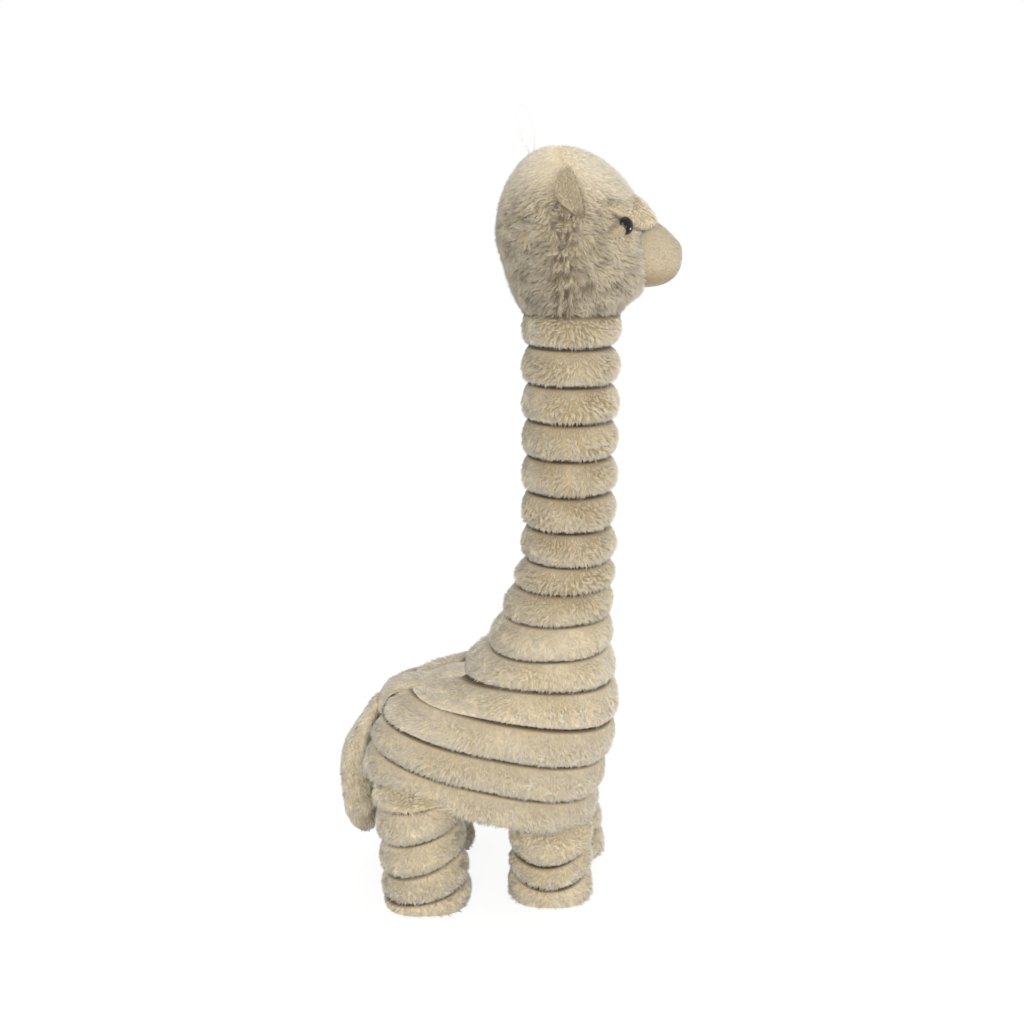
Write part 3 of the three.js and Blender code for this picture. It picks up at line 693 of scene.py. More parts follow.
def grow(pelt, groom, density, salt, tuft_size=TUFT_SIZE, overhang=-1.2, strand_width=STRAND_WIDTH):
    """Strands of pile as three-sided spikes. Returns their points, faces and coat values."""
    rng = np.random.default_rng(salt)
    row, column = pelt.scatter(density, rng)
    root = pelt.at(pelt.grid, row, column)
    style = groom(row / (pelt.rows - 1), column / pelt.columns, root)
    kept = rng.random(len(row)) < style.keep
    row, column, root = row[kept], column[kept], root[kept]
    style = Groom(*[values[kept] for values in style])
    count = len(row)
    way, shared = tufts(root, tuft_size, salt)

    down = pelt.at(pelt.down, row, column)
    across = pelt.at(pelt.across, row, column)
    down_step = np.maximum(np.linalg.norm(down, axis=1), 1e-6)
    across_step = np.maximum(np.linalg.norm(across, axis=1), 1e-6)
    way_down = (way * down).sum(1) / down_step
    way_across = (way * across).sum(1) / across_step

    own = rng.random((count, 4))
    turn = style.swirl + style.spread * (1.5 * (shared[:, 0] - 0.5) + drift(root, 16.0, salt + 1) * 0.6)
    turn = np.radians(turn + style.spread * 0.5 * (own[:, 0] - 0.5))
    lay = style.lay * (0.8 + 0.4 * shared[:, 1]) * (0.75 + 0.5 * own[:, 1])
    height = style.height * (0.78 + 0.44 * shared[:, 2]) * (0.75 + 0.5 * own[:, 2])
    room = (pelt.rows - 1 - row) * down_step + overhang
    short = np.minimum(1.0, room / np.maximum(lay * np.cos(turn), 1e-6))
    short = np.where(np.cos(turn) > 0, np.maximum(short, 0.05), 1.0)

    run = lay * short
    tip_row = row + (run * np.cos(turn) + way_down * style.clump) / down_step
    tip_column = column + (run * np.sin(turn) + way_across * style.clump) / across_step
    if not pelt.wraps:
        beyond = tip_row < 0
        tip_row = np.maximum(tip_row, -TIP_ROWS)
        tip_column = np.where(beyond, np.clip(tip_column, 0.0, pelt.columns - 1.0), tip_column)
    tip_normal = unit(pelt.at(pelt.normal, tip_row, tip_column))
    tip = pelt.at(pelt.grid, tip_row, tip_column) + tip_normal * height[:, None]
    tip[:, 2] = np.maximum(tip[:, 2], FLOOR_CLEARANCE)

    normal = unit(pelt.at(pelt.normal, row, column))
    base = root - normal * ROOT_SINK
    base[:, 2] = np.maximum(base[:, 2], FLOOR_CLEARANCE)
    ahead = unit(tip - base)
    side = unit(np.cross(ahead, normal))
    out = np.cross(side, ahead)
    width = (strand_width * (0.7 + 0.6 * own[:, 3]))[:, None]
    corners = [base + side * width * sideways + out * width * outward for sideways, outward in CORNERS]
    points = np.stack([*corners, tip], 1)
    faces = np.array([(0, 1, 3), (1, 2, 3), (2, 0, 3)])
    start = np.arange(count)[:, None, None] * STRAND_POINTS
    coat = np.zeros((count, STRAND_POINTS, 3))
    coat[:, -1, 0] = 0.8
    coat[:, :, 0] += (style.light * 0.4)[:, None]
    coat[:, :, 1] = (0.55 * shared[:, 1] + 0.45 * own[:, 1])[:, None]
    coat[:, :, 2] = style.seam[:, None]
    return points.reshape(-1, 3), (faces[None] + start).reshape(-1, 3), np.clip(coat, 0.0, 1.0).reshape(-1, 3)


def quads_of(number):
    """Four-sided faces between the rows and columns of a table of point numbers."""
    return np.stack([number[:-1, :-1], number[1:, :-1], number[1:, 1:], number[:-1, 1:]], 2).reshape(-1, 4)


def shell(pelt):
    """The backing cloth as a thin closed body. Returns its points and four-sided faces."""
    outer = pelt.grid.reshape(-1, 3)
    inner = (pelt.grid - pelt.normal * FABRIC).reshape(-1, 3)
    rows, columns = pelt.rows, pelt.columns
    number = np.arange(rows * columns).reshape(rows, columns)
    if pelt.wraps:
        number = np.concatenate([number, number[:, :1]], 1)
    quads = quads_of(number)
    under = quads[:, ::-1] + rows * columns
    rims = []
    edges = [number[0, ::-1], number[-1]]
    if not pelt.wraps:
        edges += [number[:, 0], number[::-1, -1]]
    for edge in edges:
        near, far = edge[:-1], edge[1:]
        rims.append(np.stack([far, near, near + rows * columns, far + rows * columns], 1))
    return np.concatenate([outer, inner]), np.concatenate([quads, under, *rims])


def build_mesh(name, points, quads, triangles, coat, map_points, material):
    """A smooth mesh in metres from numbers in millimetres, with its coat values and its map."""
    mesh = bpy.data.meshes.new(name)
    corners = np.concatenate([quads.ravel(), triangles.ravel()]).astype(np.int32)
    starts = np.concatenate([np.arange(len(quads)) * 4, len(quads) * 4 + np.arange(len(triangles)) * 3])
    mesh.vertices.add(len(points))
    mesh.vertices.foreach_set("co", (points * MM).astype(np.float32).ravel())
    mesh.loops.add(len(corners))
    mesh.loops.foreach_set("vertex_index", corners)
    mesh.polygons.add(len(starts))
    mesh.polygons.foreach_set("loop_start", starts.astype(np.int32))
    mesh.update(calc_edges=True)
    mesh.shade_smooth()
    colours = np.concatenate([coat, np.ones((len(coat), 1))], 1).astype(np.float32)
    mesh.attributes.new("coat", "FLOAT_COLOR", "POINT").data.foreach_set("color", colours.ravel())
    layer = mesh.uv_layers.new(name="OFBake")
    layer.uv.foreach_set("vector", map_points[corners].astype(np.float32).ravel())
    mesh.materials.append(material)
    return mesh


SKIN_MAP = 0.25  # share of the map's height that the backing cloth takes


def furry(name, patches, material):
    """One piece from patches of cloth, each with its strands: (pelt, skin coat, strands)."""
    points, quads, triangles, coats, maps = [], [], [], [], []
    total = 0
    strand_count = max(1, sum(len(strands[0]) // STRAND_POINTS for _, _, strands in patches))
    cells = math.ceil(math.sqrt(strand_count))
    drawn = 0
    for number, (pelt, skin_coat, strands) in enumerate(patches):
        cloth, faces = shell(pelt)
        row, column = np.meshgrid(
            np.linspace(0, 1, pelt.rows), np.linspace(0, 1, pelt.columns), indexing="ij")
        place = np.stack([(column.ravel() + number) / len(patches), row.ravel() * SKIN_MAP], 1)
        points.append(cloth)
        quads.append(faces + total)
        coats.append(np.concatenate([skin_coat, skin_coat]))
        maps.append(np.concatenate([place, place]))
        total += len(cloth)
        spikes, spike_faces, spike_coat = strands
        points.append(spikes)
        triangles.append(spike_faces + total)
        coats.append(spike_coat)
        total += len(spikes)
        count = len(spikes) // STRAND_POINTS
        strand = np.repeat(np.arange(count) + drawn, STRAND_POINTS)
        drawn += count
        level = np.tile([0.15, 0.15, 0.15, 0.85], count)
        sideways = np.tile([0.5, 0.15, 0.85, 0.5], count)
        maps.append(np.stack([
            (strand % cells + sideways) / cells,
            SKIN_MAP + (1 - SKIN_MAP) * (strand // cells + level) / cells], 1))
    mesh = build_mesh(
        name, np.concatenate(points), np.concatenate(quads), np.concatenate(triangles),
        np.concatenate(coats), np.concatenate(maps), material)
    return new_object(name, mesh)


def skin_coat(pelt, groom, light):
    """Coat values of the backing cloth, darkened as its pile is, with painted shade in the grooves."""
    row, column = np.meshgrid(np.arange(pelt.rows), np.arange(pelt.columns), indexing="ij")
    points = pelt.grid.reshape(-1, 3)
    style = groom(row.ravel() / (pelt.rows - 1), column.ravel() / pelt.columns, points)
    return np.stack([light + 0.4 * style.light, np.full(len(points), 0.5), style.seam], 1)


def fur_patch(pelt, groom, salt, density=PLUSH_DENSITY, skin_light=0.1, **options):
    return pelt, skin_coat(pelt, groom, skin_light), grow(pelt, groom, density, salt, **options)


def fur_piece(name, patches, body, node, slot, material=PLUSH, **finish):
    finish_piece(furry(name, patches, material), body, node, slot, **finish)


# Stitched rings
EDGE_GAP = 0.5  # between a ring's edge and the middle of its groove
NECK_EDGE_GAP = 0.8  # and on the neck, whose grooves open and close
COVER_FILL = 0.85  # how full the stuffed covers of neck, body and legs are
RING_FINE_ROWS = 49
RING_ROWS = 22
NECK_FULLNESS = 1.45  # under 1, a ring is fuller than an ellipse
BODY_FULLNESS = 0.85
RING_COLUMNS = 96


def ring_share(step, sag):
    return ((1 - math.cos(math.pi * step)) / 2) ** sag


def height_on(plane, points):
    return plane.z + (points[:, 0] - plane.x) * math.tan(plane.tilt)


def ring_rows(upper, lower, start, end, angles, fullness, sag=1.0, top_depth=GROOVE_SKIN,
              foot_depth=GROOVE_SKIN, top_fullness=None):
    """Rows of points down a ring. With sag under 1, its crest hangs below the middle."""
    rows = []
    for step in np.linspace(0.0, 1.0, RING_FINE_ROWS):
        share = start + (end - start) * ring_share(step, sag)
        above = step < 0.5
        bulge = math.sin(math.pi * step) ** (top_fullness if above and top_fullness else fullness)
        edge = top_depth if above else foot_depth
        rows.append(outline(between(upper, lower, share), edge + (RING_SKIN - edge) * bulge, angles))
    return rows


def with_edges(rows, upper, lower, start, end, angles):
    """The same rows with the turned-in edges that are stitched inside the grooves."""
    return [outline(between(upper, lower, start), SEAM_SKIN, angles), *rows,
            outline(between(upper, lower, end), SEAM_SKIN, angles)]


def table_of(*pairs):
    """A curve through (place, value) pairs."""
    places, values = zip(*pairs)
    return lambda share: np.interp(share, places, values)


RING_KEEP = table_of((0.0, 0.0), (0.205, 0.0), (0.235, 1.0), (0.8, 1.0), (0.85, 0.0), (1.0, 0.0))
RING_LAY = table_of((0.0, 2.4), (0.3, 3.0), (0.45, 3.6), (0.66, 4.2), (0.76, 2.6), (0.84, 1.6))
RING_HEIGHT = table_of(
    (0.0, 0.8), (0.28, 1.5), (0.36, 2.6), (0.5, 4.1), (0.68, 4.2), (0.77, 2.2), (0.84, 0.8))
RING_CLUMP = table_of(
    (0.0, 0.1), (0.26, 0.35), (0.38, 1.0), (0.7, 1.05), (0.77, 0.4), (0.83, 0.05), (1.0, 0.0))
RING_SPREAD = table_of((0.0, 12.0), (0.26, 28.0), (0.42, 60.0), (0.75, 50.0), (0.84, 14.0), (1.0, 12.0))
# Painted shade in the grooves: how dark the pile and its cloth are down a ring, darkest at both turned-in
# edges.
RING_GROOVE_SHADE = table_of(
    (0.0, 1.0), (0.198, 1.0), (0.215, 0.5), (0.25, 0.22), (0.36, 0.08), (0.5, 0.0), (0.85, 0.0), (0.875, 0.3),
    (0.9, 1.0), (1.0, 1.0))
# Paleness of the pile down a ring: darker at the top as painted shade under the ring above, and paler towards
# the bottom.
RING_LIGHT = table_of((0.0, 0.2), (0.26, 0.2), (0.4, 0.12), (0.55, 0.2), (0.7, 0.3), (0.8, 0.5), (1.0, 0.6))
RING_OVERHANG = -9.0  # strands end this far before the turned-in edge
NECK_OVERHANG = -7.6  # and on the neck
COLLAR_OVERHANG = -6.6  # and on the ring under the head
RING_FAN = 38.0  # degrees by which the pile leans forward and back from the middle of each flank


def ring_groom(share, turn, points, ruffle=1.0):
    """Pile of one ring: smooth and short at the top, in tufts that fan out below the crest."""
    angle = turn * 2 * math.pi
    fan = -np.sin(2 * angle) * RING_FAN * RING_CLUMP(share)
    flank = 0.45 + 0.55 * np.abs(np.sin(angle))
    ruffled = np.clip(0.8 + 0.45 * drift(points, 34.0, SALTS["ruffle"]), 0.2, 1.1) * flank * ruffle
    return groom_for(
        len(share), keep=RING_KEEP(share), lay=RING_LAY(share),
        height=RING_HEIGHT(share) * (0.5 + 0.5 * ruffled), swirl=fan,
        spread=RING_SPREAD(share), clump=RING_CLUMP(share) * ruffled, seam=RING_GROOVE_SHADE(share),
        light=RING_LIGHT(share) + 0.3 * (1 - ruffled))


NECK_RUFFLE = 1.2
BODY_RUFFLE = 0.85
# Painted light: the body's pile is paler than the neck's, as the body faces the light more.
BODY_LIGHT = 0.24  # by which the body's pile is paler than the neck's
# The grooves' painted shade shows less at the top of the body's rings.
BODY_SHADE_SHIFT = 0.015  # by which the dark of a groove shows less on the body's rings


def neck_groom(share, turn, points):
    """Pile of a neck ring, in deeper tufts than on the body."""
    return ring_groom(share, turn, points, NECK_RUFFLE)


def collar_groom(share, turn, points):
    """Pile of the ring under the head, with painted shadow where the head's pile hangs over it."""
    style = neck_groom(share, turn, points)
    depth = NECK_TOP[2] - points[:, 2]
    darken(style, 0.9 * (1 - smoothstep(depth, 3.0, 8.0)))
    return style


HEAD_TUCK = 5.5  # of the first ring's upper edge, under the head's pile
HEAD_SEAM_FULLNESS = 0.4
GROOVES = [groove_at(index) for index in range(NECK_RINGS + BODY_RINGS + 1)]
BELLY = GROOVES[-1]
# Where the pile closes over the body's lower grooves: shares of the back line and of the chest line
SETTLED = {12: (0.648, 0.618), 13: (0.782, 0.772), 14: (0.89, 0.92)}
THIGH_X = REAR_LEG.hip_x + SHIFT_X
THIGH_SPAN = 30.0
THIGH_LIFT = 6.0  # of the lowest ring's edge over the thighs
CHEST_HANG = 8.0  # of the lowest ring's front edge, over the front legs
HEM_SKIN = 4.5  # backing cloth under the settled pile at the lowest ring's lower edge
PILE_GROOVES = [groove_through(*SETTLED[index]) if index in SETTLED else groove
                for index, groove in enumerate(GROOVES)]
PILE_GROOVES[-1] = groove_through(1.0, 1.0, front_drop=CHEST_HANG)


def ring_pelt(upper, lower, columns, fullness, gap=EDGE_GAP, **depths):
    start = gap / math.dist((upper.x, upper.z), (lower.x, lower.z))
    angles = full_turn(columns)
    rows = ring_rows(upper, lower, start, 1 - start, angles, fullness, **depths)
    return Pelt(even_rows(with_edges(rows, upper, lower, start, 1 - start, angles), RING_ROWS))


SLEEVE_DEPTH = 16.0  # of a neck ring's inner edge
SLEEVE_REACH = 7.0  # of that edge, up into the ring above
SLEEVE_DROP = 2.0  # of that edge, down into its own ring
SLEEVE_ROWS = 5
# Coat of a neck ring's inner edge: full painted shade.
SLEEVE_COAT = (0.2, 0.5, 1.0)
NO_STRANDS = (np.zeros((0, 3)), np.zeros((0, 3), int), np.zeros((0, 3)))


def sleeve_patch(groove):
    """The inner edge of a neck ring, all painted shade, which shows when the groove above it opens."""
    rises = np.linspace(SLEEVE_REACH, -SLEEVE_DROP, SLEEVE_ROWS)
    pelt = Pelt([outline(groove, SLEEVE_DEPTH, full_turn(RING_COLUMNS), rise) for rise in rises])
    return pelt, np.tile(SLEEVE_COAT, (pelt.rows * pelt.columns, 1)), NO_STRANDS


def neck_rings():
    """Each ring turns whole with its part of the neck; the last one is sewn to the body."""
    front = (1 + np.cos(full_turn(RING_COLUMNS))) / 2
    groove = NAPE_SKIN + (GROOVE_SKIN - NAPE_SKIN) * front
    for index in range(1, NECK_RINGS + 1):
        upper, lower = GROOVES[index - 1], GROOVES[index]
        under_head = {"top_depth": HEAD_TUCK, "top_fullness": HEAD_SEAM_FULLNESS}
        pelt = ring_pelt(
            upper, lower, RING_COLUMNS, NECK_FULLNESS, gap=NECK_EDGE_GAP, foot_depth=groove,
            **(under_head if index == 1 else {"top_depth": groove}))
        groom, overhang = (collar_groom, COLLAR_OVERHANG) if index == 1 else (neck_groom, NECK_OVERHANG)
        patch = fur_patch(pelt, groom, SALTS["neck"] + 10 * index, overhang=overhang)
        sewn_to = None
        if index == NECK_RINGS:
            sewn_to = ("body", np.array(lower[:3]), np.array(between(upper, lower, 0.5)[:3]))
        fur_piece(f"neck_ring_{index}_plush", [patch, sleeve_patch(upper)], f"neck_{index}",
                  f"neck_ring_{index}", "plush", fill=COVER_FILL, sewn_to=sewn_to)


STRIP_DIP = 3.5  # of a body ring under the strip along the back
STRIP_LEAD = 24.0  # length of strip that comes up out of the ring at its start
STRIP_EDGE = 4.0  # from the strip's edge to the top of a ring's rounded end


def under_strip(points):
    """How far points of the body lie under the strip along the back, from 0 to 1."""
    sideways = np.abs(points[:, 1])
    sideways = 1 - smoothstep(sideways, SPINE_HALF_WIDTH - STRIP_EDGE, SPINE_HALF_WIDTH + STRIP_EDGE)
    back = BACK_LINE + np.array([SHIFT_X, 0.0])
    start = int((SPINE_START + STRIP_LEAD / BACK_LENGTH) * LINE_STEPS)
    end = int(SPINE_END * LINE_STEPS)
    near = back[start:end:20]
    far = np.min(np.linalg.norm(points[:, None, [0, 2]] - near[None], axis=2), axis=1)
    return sideways * (1 - smoothstep(far, 10.0, 18.0))


BACK_HOLLOW = 6.0  # of the back between the withers and the croup, under the solid


def hollow_back(points, near=10.0, far=45.0):
    """How far points of the back are sunk: fully up to near from the back line, and not beyond far."""
    line = BACK_LINE[::20] + np.array([SHIFT_X, 0.0])
    away = np.linalg.norm(points[:, None, [0, 2]] - line[None], axis=2)
    share = np.argmin(away, axis=1) / (len(line) - 1)
    along = smoothstep(share, 0.3, 0.45) * (1 - smoothstep(share, 0.55, 0.72))
    return BACK_HOLLOW * along * (1 - smoothstep(np.min(away, axis=1), near, far))


def body_groom(share, turn, points):
    """Pile of a body ring, darker and shorter along the edges of the strip on its back, and none under it."""
    style = ring_groom(share, turn, points, BODY_RUFFLE)
    style.seam[:] = np.where(share < 0.5, RING_GROOVE_SHADE(share + BODY_SHADE_SHIFT), style.seam)
    style.light[:] += BODY_LIGHT
    covered = under_strip(points)
    style.keep[covered > 0.8] = 0.0
    edge = 4 * covered * (1 - covered)
    darken(style, 0.15 * edge)
    style.height[:] *= 1 - 0.6 * edge
    style.lay[:] *= 1 - 0.4 * edge
    return style


def body_rings():
    for index in range(1, BODY_RINGS + 1):
        upper, lower = PILE_GROOVES[NECK_RINGS + index - 1:NECK_RINGS + index + 1]
        pelt = ring_pelt(
            upper, lower, 2 * RING_COLUMNS, BODY_FULLNESS,
            foot_depth=HEM_SKIN if index == BODY_RINGS else GROOVE_SKIN)
        points = pelt.grid.reshape(-1, 3)
        dip = under_strip(points) * STRIP_DIP + hollow_back(points)
        outward = pelt.normal[RING_ROWS // 2]
        grid = pelt.grid - outward * dip.reshape(pelt.rows, pelt.columns, 1)
        if index == BODY_RINGS:
            over_thigh = np.exp(-((grid[:, :, 0] - THIGH_X) / THIGH_SPAN) ** 2)
            lowest = smoothstep(np.linspace(0.0, 1.0, pelt.rows), 0.3, 0.85)
            grid[:, :, 2] += THIGH_LIFT * over_thigh * lowest[:, None]
        pelt = Pelt(grid)
        patch = fur_patch(pelt, body_groom, SALTS["body"] + 10 * index, overhang=RING_OVERHANG)
        fur_piece(
            f"body_ring_{index}_plush", [patch], "body", f"body_ring_{index}", "plush", fill=COVER_FILL)


# Legs
HIP_DROP = 1.0  # of the top of a leg's cover under the belly
FOOT_SQUARENESS = 2.7


def leg_levels(leg, side, hip_step, foot_step):
    levels = []
    hip_x = leg.hip_x + hip_step + SHIFT_X
    foot_x = leg.foot_x + foot_step + SHIFT_X
    hip_z = BELLY.z + (hip_x - BELLY.x) * math.tan(BELLY.tilt) - HIP_DROP / math.cos(BELLY.tilt)
    for share, rise in ((leg.top, math.degrees(BELLY.tilt)), *leg.seams, (1.0, 0.0)):
        levels.append(Plane(
            hip_x + (foot_x - hip_x) * share, side * leg.y, hip_z * (1 - share), math.radians(rise),
            leg.half_length, leg.half_width, FOOT_SQUARENESS if share == 1.0 else 2.0,
            leg.drape if 0.0 < share < 1.0 else 0.0))
    return levels


LEG_COLUMNS = 80
LEG_FULLNESS = 0.85
LEG_SAG = 0.8
HIP_SAG = 0.45
HIP_TUCK = 14.0  # of the top of a leg, in under the body
HIP_LEAN = 16.0  # of its middle towards the middle of the body
HIP_RISE = 4.0  # of its middle into the body
HIP_BEND = (2.0, 26.0)  # distances down a leg of the two places given as sewn_to
FOOT_SKIN = 3.4
FOOT_LIFT = 0.5  # of the cloth over the floor
SOLE_DEPTH = GROOVE_DEPTH + COVER_WALL + SEAM_GAP
LEG_DENSITY = 1.0
LEAST_FOLD = 1.0  # height of a hip's fold where it runs out
HIP_OVERHANG = -5.0  # strands of the hip end this far before its turned-in edge
# Painted shadow on the legs, under the hem and under each groove.
HIP_SHADE = -2.2  # how far the dark line over a leg reaches below the hem
LEG_SHADE = 1.6  # and below a groove of the leg other than the foot's
FOOT_ROWS = 6  # of cloth, in under the foot
SOLE_GAP = 0.6  # between that cloth and the sole
SOLE_COLUMNS = 48
# The sole's outline from below to above: its size and its height over the floor
SOLE_PROFILE = [
    (0.02, 0.0), (0.5, 0.0), (0.93, 0.0), (0.985, 0.5), (1.0, 1.4), (1.0, 3.2), (0.98, 3.8), (0.9, 4.0),
    (0.02, 4.0)]


def leg_groom_under(plane, kind, shade):
    """Pile of a leg's ring, with painted shadow just under the given plane, the hem's for the hip and the
    groove's above it for the rest: kind is hip, middle or foot.
    """
    def groom(share, turn, points):
        place = {"hip": 0.3 + 0.6 * share, "middle": share, "foot": np.minimum(share, 0.78)}[kind]
        style = ring_groom(place, turn, points, BODY_RUFFLE)
        drape = plane.drape * (np.sin(turn * 2 * math.pi) ** 2 - 0.5)
        under = height_on(plane, points) - drape - points[:, 2]
        covered = np.ones(len(share))
        if kind == "hip":
            along = (points[:, 0] - plane.x) / ((plane.half_length - HEM_SKIN) * math.cos(plane.tilt))
            across = points[:, 1] / (plane.half_width - HEM_SKIN)
            reach = np.abs(along) ** plane.power + np.abs(across) ** plane.power
            covered = 1 - smoothstep(reach, 0.85, 1.0)
        # The middle and foot rings get the body's painted light.
        style.light[:] += 0.0 if kind == "hip" else BODY_LIGHT
        # A light painted shade on the upper half of each ring, under the ring above.
        style.seam[:] = np.where(share < 0.5, 0.15 * (1 - smoothstep(share, 0.2, 0.5)), style.seam)
        darken(style, covered * (1 - smoothstep(under, shade, shade + 2.0)))
        style.keep[:] = np.where(share < 0.5, 1.0, style.keep)
        style.keep[(under < shade + 0.6) & (covered > 0.5)] = 0.0
        style.height[:] *= 0.4 + 0.6 * smoothstep(under, shade, shade + 8.0)
        if kind == "foot":
            style.keep[points[:, 2] < 1.0] = 0.0
            darken(style, 0.3 * (share > 0.88))
        return style
    return groom


def shape_hip(rows, upper, lower, side):
    """Gives the fold at the top of a leg its least height, and leans it in under the body."""
    steps = np.linspace(0.0, 1.0, RING_FINE_ROWS)
    for share, row in zip([*(ring_share(step, HIP_SAG) for step in steps), 1.0], rows):
        top = height_on(upper, row)
        closed = top - height_on(lower, row) < LEAST_FOLD
        row[:, 2] = np.where(closed, top - share * LEAST_FOLD, row[:, 2])
    tilt = BELLY.tilt
    into = np.array([-HIP_RISE * math.sin(tilt), -side * HIP_LEAN, HIP_RISE * math.cos(tilt)])
    for step, row in zip(steps, rows):
        row += into * (1 - smoothstep(step, 0.0, 0.5))


def sized(plane, margin, size):
    """The same plane with its outline drawn in by a margin and then scaled."""
    return plane._replace(
        half_length=(plane.half_length - margin) * size, half_width=(plane.half_width - margin) * size)


def leg_sole(name, foot):
    rows = [outline(sized(foot, SOLE_DEPTH, size), 0.0, full_turn(SOLE_COLUMNS), rise)
            for size, rise in SOLE_PROFILE]
    sole = solid_piece(f"{name}_sole_velour", np.array(rows[::-1]), VELOUR)
    finish_piece(sole, name, f"{name}_sole", "velour")


def leg_piece(name, leg, side, hip_step, foot_step, salt):
    levels = leg_levels(leg, side, hip_step, foot_step)
    angles = full_turn(LEG_COLUMNS)
    patches = []
    lift = THIGH_LIFT * math.exp(-((levels[0].x - THIGH_X) / THIGH_SPAN) ** 2)
    hem = PILE_GROOVES[-1]._replace(z=PILE_GROOVES[-1].z + lift)
    for ring in range(1, len(levels)):
        upper, lower = levels[ring - 1], levels[ring]
        lowest = ring == len(levels) - 1
        rows = ring_rows(
            upper, lower, 0.0, 1.0, angles, LEG_FULLNESS, sag=HIP_SAG if ring == 1 else LEG_SAG,
            top_depth=HIP_TUCK if ring == 1 else GROOVE_SKIN, foot_depth=FOOT_SKIN if lowest else GROOVE_SKIN)
        rows = with_edges(rows, upper, lower, 0.0, 1.0, angles)
        if ring == 1:
            rows = rows[1:]
            shape_hip(rows, upper, lower, side)
        if lowest:
            rows = [np.maximum(row, [-np.inf, -np.inf, FOOT_LIFT]) for row in rows[:-1]]
            depths = np.linspace(FOOT_SKIN, SOLE_DEPTH - SOLE_GAP, FOOT_ROWS)
            rows += [outline(lower, depth, angles, FOOT_LIFT) for depth in depths]
        pelt = Pelt(even_rows(rows, RING_ROWS + FOOT_ROWS if lowest else RING_ROWS))
        if ring == 1:
            groom = leg_groom_under(hem, "hip", HIP_SHADE)
        elif lowest:
            groom = leg_groom_under(upper, "foot", leg.foot_shade)
        else:
            groom = leg_groom_under(upper, "middle", LEG_SHADE)
        overhang = {} if lowest else {"overhang": HIP_OVERHANG if ring == 1 else RING_OVERHANG}
        patches.append(fur_patch(pelt, groom, salt + ring, density=LEG_DENSITY, **overhang))
    hip = np.array([levels[0].x, levels[0].y, levels[0].z + leg.top * BELLY.z])
    down = np.array([math.sin(BELLY.tilt), 0.0, -math.cos(BELLY.tilt)])
    sewn_to = ("body", *(hip + down * length for length in HIP_BEND))
    fur_piece(f"{name}_plush", patches, name, f"{name}_cover", "plush", fill=COVER_FILL, sewn_to=sewn_to)
    leg_sole(name, levels[-1])


def solid_piece(name, rows, material):
    """A closed smooth body through rows of points, with a flat or pointed end at both sides."""
    count, columns = rows.shape[:2]
    ends = [rows[index].mean(0, keepdims=True) for index in (0, -1)]
    points = np.concatenate([rows.reshape(-1, 3), *ends])
    number = np.arange(count * columns).reshape(count, columns)
    number = np.concatenate([number, number[:, :1]], 1)
    quads = quads_of(number)
    first, last = count * columns, count * columns + 1
    caps = [np.stack([np.full(columns, first), number[0, :-1], number[0, 1:]], 1),
            np.stack([np.full(columns, last), number[-1, 1:], number[-1, :-1]], 1)]
    coat = np.full((len(points), 3), 0.5)
    coat[:, 2] = 0.0
    row, column = np.meshgrid(np.linspace(0.1, 0.9, count), np.linspace(0.02, 0.98, columns), indexing="ij")
    maps = np.concatenate([np.stack([column.ravel(), row.ravel()], 1), [[0.5, 0.02], [0.5, 0.98]]])
    return new_object(name, build_mesh(name, points, quads, np.concatenate(caps), coat, maps, material))


LEGS = [
    ("leg_rear_right", REAR_LEG, -1, 0.0, 0.0),
    ("leg_rear_left", REAR_LEG, 1, 0.0, 0.0),
    ("leg_front_right", FRONT_LEG, -1, 0.0, 0.0),
    ("leg_front_left", FRONT_LEG, 1, LEFT_HIP_STEP, LEFT_FOOT_STEP),
]


def legs():
    for number, (name, leg, side, hip_step, foot_step) in enumerate(LEGS):
        leg_piece(name, leg, side, hip_step, foot_step, SALTS["legs"] + 20 * number)


# Belly, back and tail
FLAT_FILL = 0.5  # how full the belly's panel and the strip along the back are
BELLY_MARGIN = GROOVE_DEPTH + 2.0
BELLY_ROWS = 24
BELLY_DENSITY = 0.5
# The belly panel from its edge to its middle: its size and its height over the groove
BELLY_PROFILE = [(1.0, -0.4), (1.0, -1.4), (0.97, -2.2), (0.8, -2.6), (0.55, -2.6), (0.3, -2.6), (0.06, -2.6)]


def belly_panel():
    rows = [outline(sized(BELLY, BELLY_MARGIN, size), 0.0, full_turn(RING_COLUMNS), rise)
            for size, rise in BELLY_PROFILE]
    groom = even_groom(lay=3.5, height=1.6, spread=60.0, clump=0.3, light=0.35)
    patch = fur_patch(Pelt(even_rows(rows, BELLY_ROWS)), groom, SALTS["belly"], density=BELLY_DENSITY)
    fur_piece("belly_panel_plush", [patch], "body", "belly_panel", "plush", fill=FLAT_FILL)


def back_place(share, height):
    tangent = tangent_of(BACK_LINE, share)
    point = on_line(BACK_LINE, share) + np.array([tangent[1], -tangent[0]]) * height
    return np.array([point[0] + SHIFT_X, 0.0, point[1]])


STRIP_ROWS = 40
STRIP_COLUMNS = 25
STRIP_SKIN = 1.8
STRIP_SIDE_SINK = 4.0  # of the strip's edges, into the back
STRIP_TIP = 6.0  # length at each end over which the strip sinks in
STRIP_TIP_SINK = 3.0  # of those ends
STRIP_LEAD_SINK = 5.0  # of the start of its lead


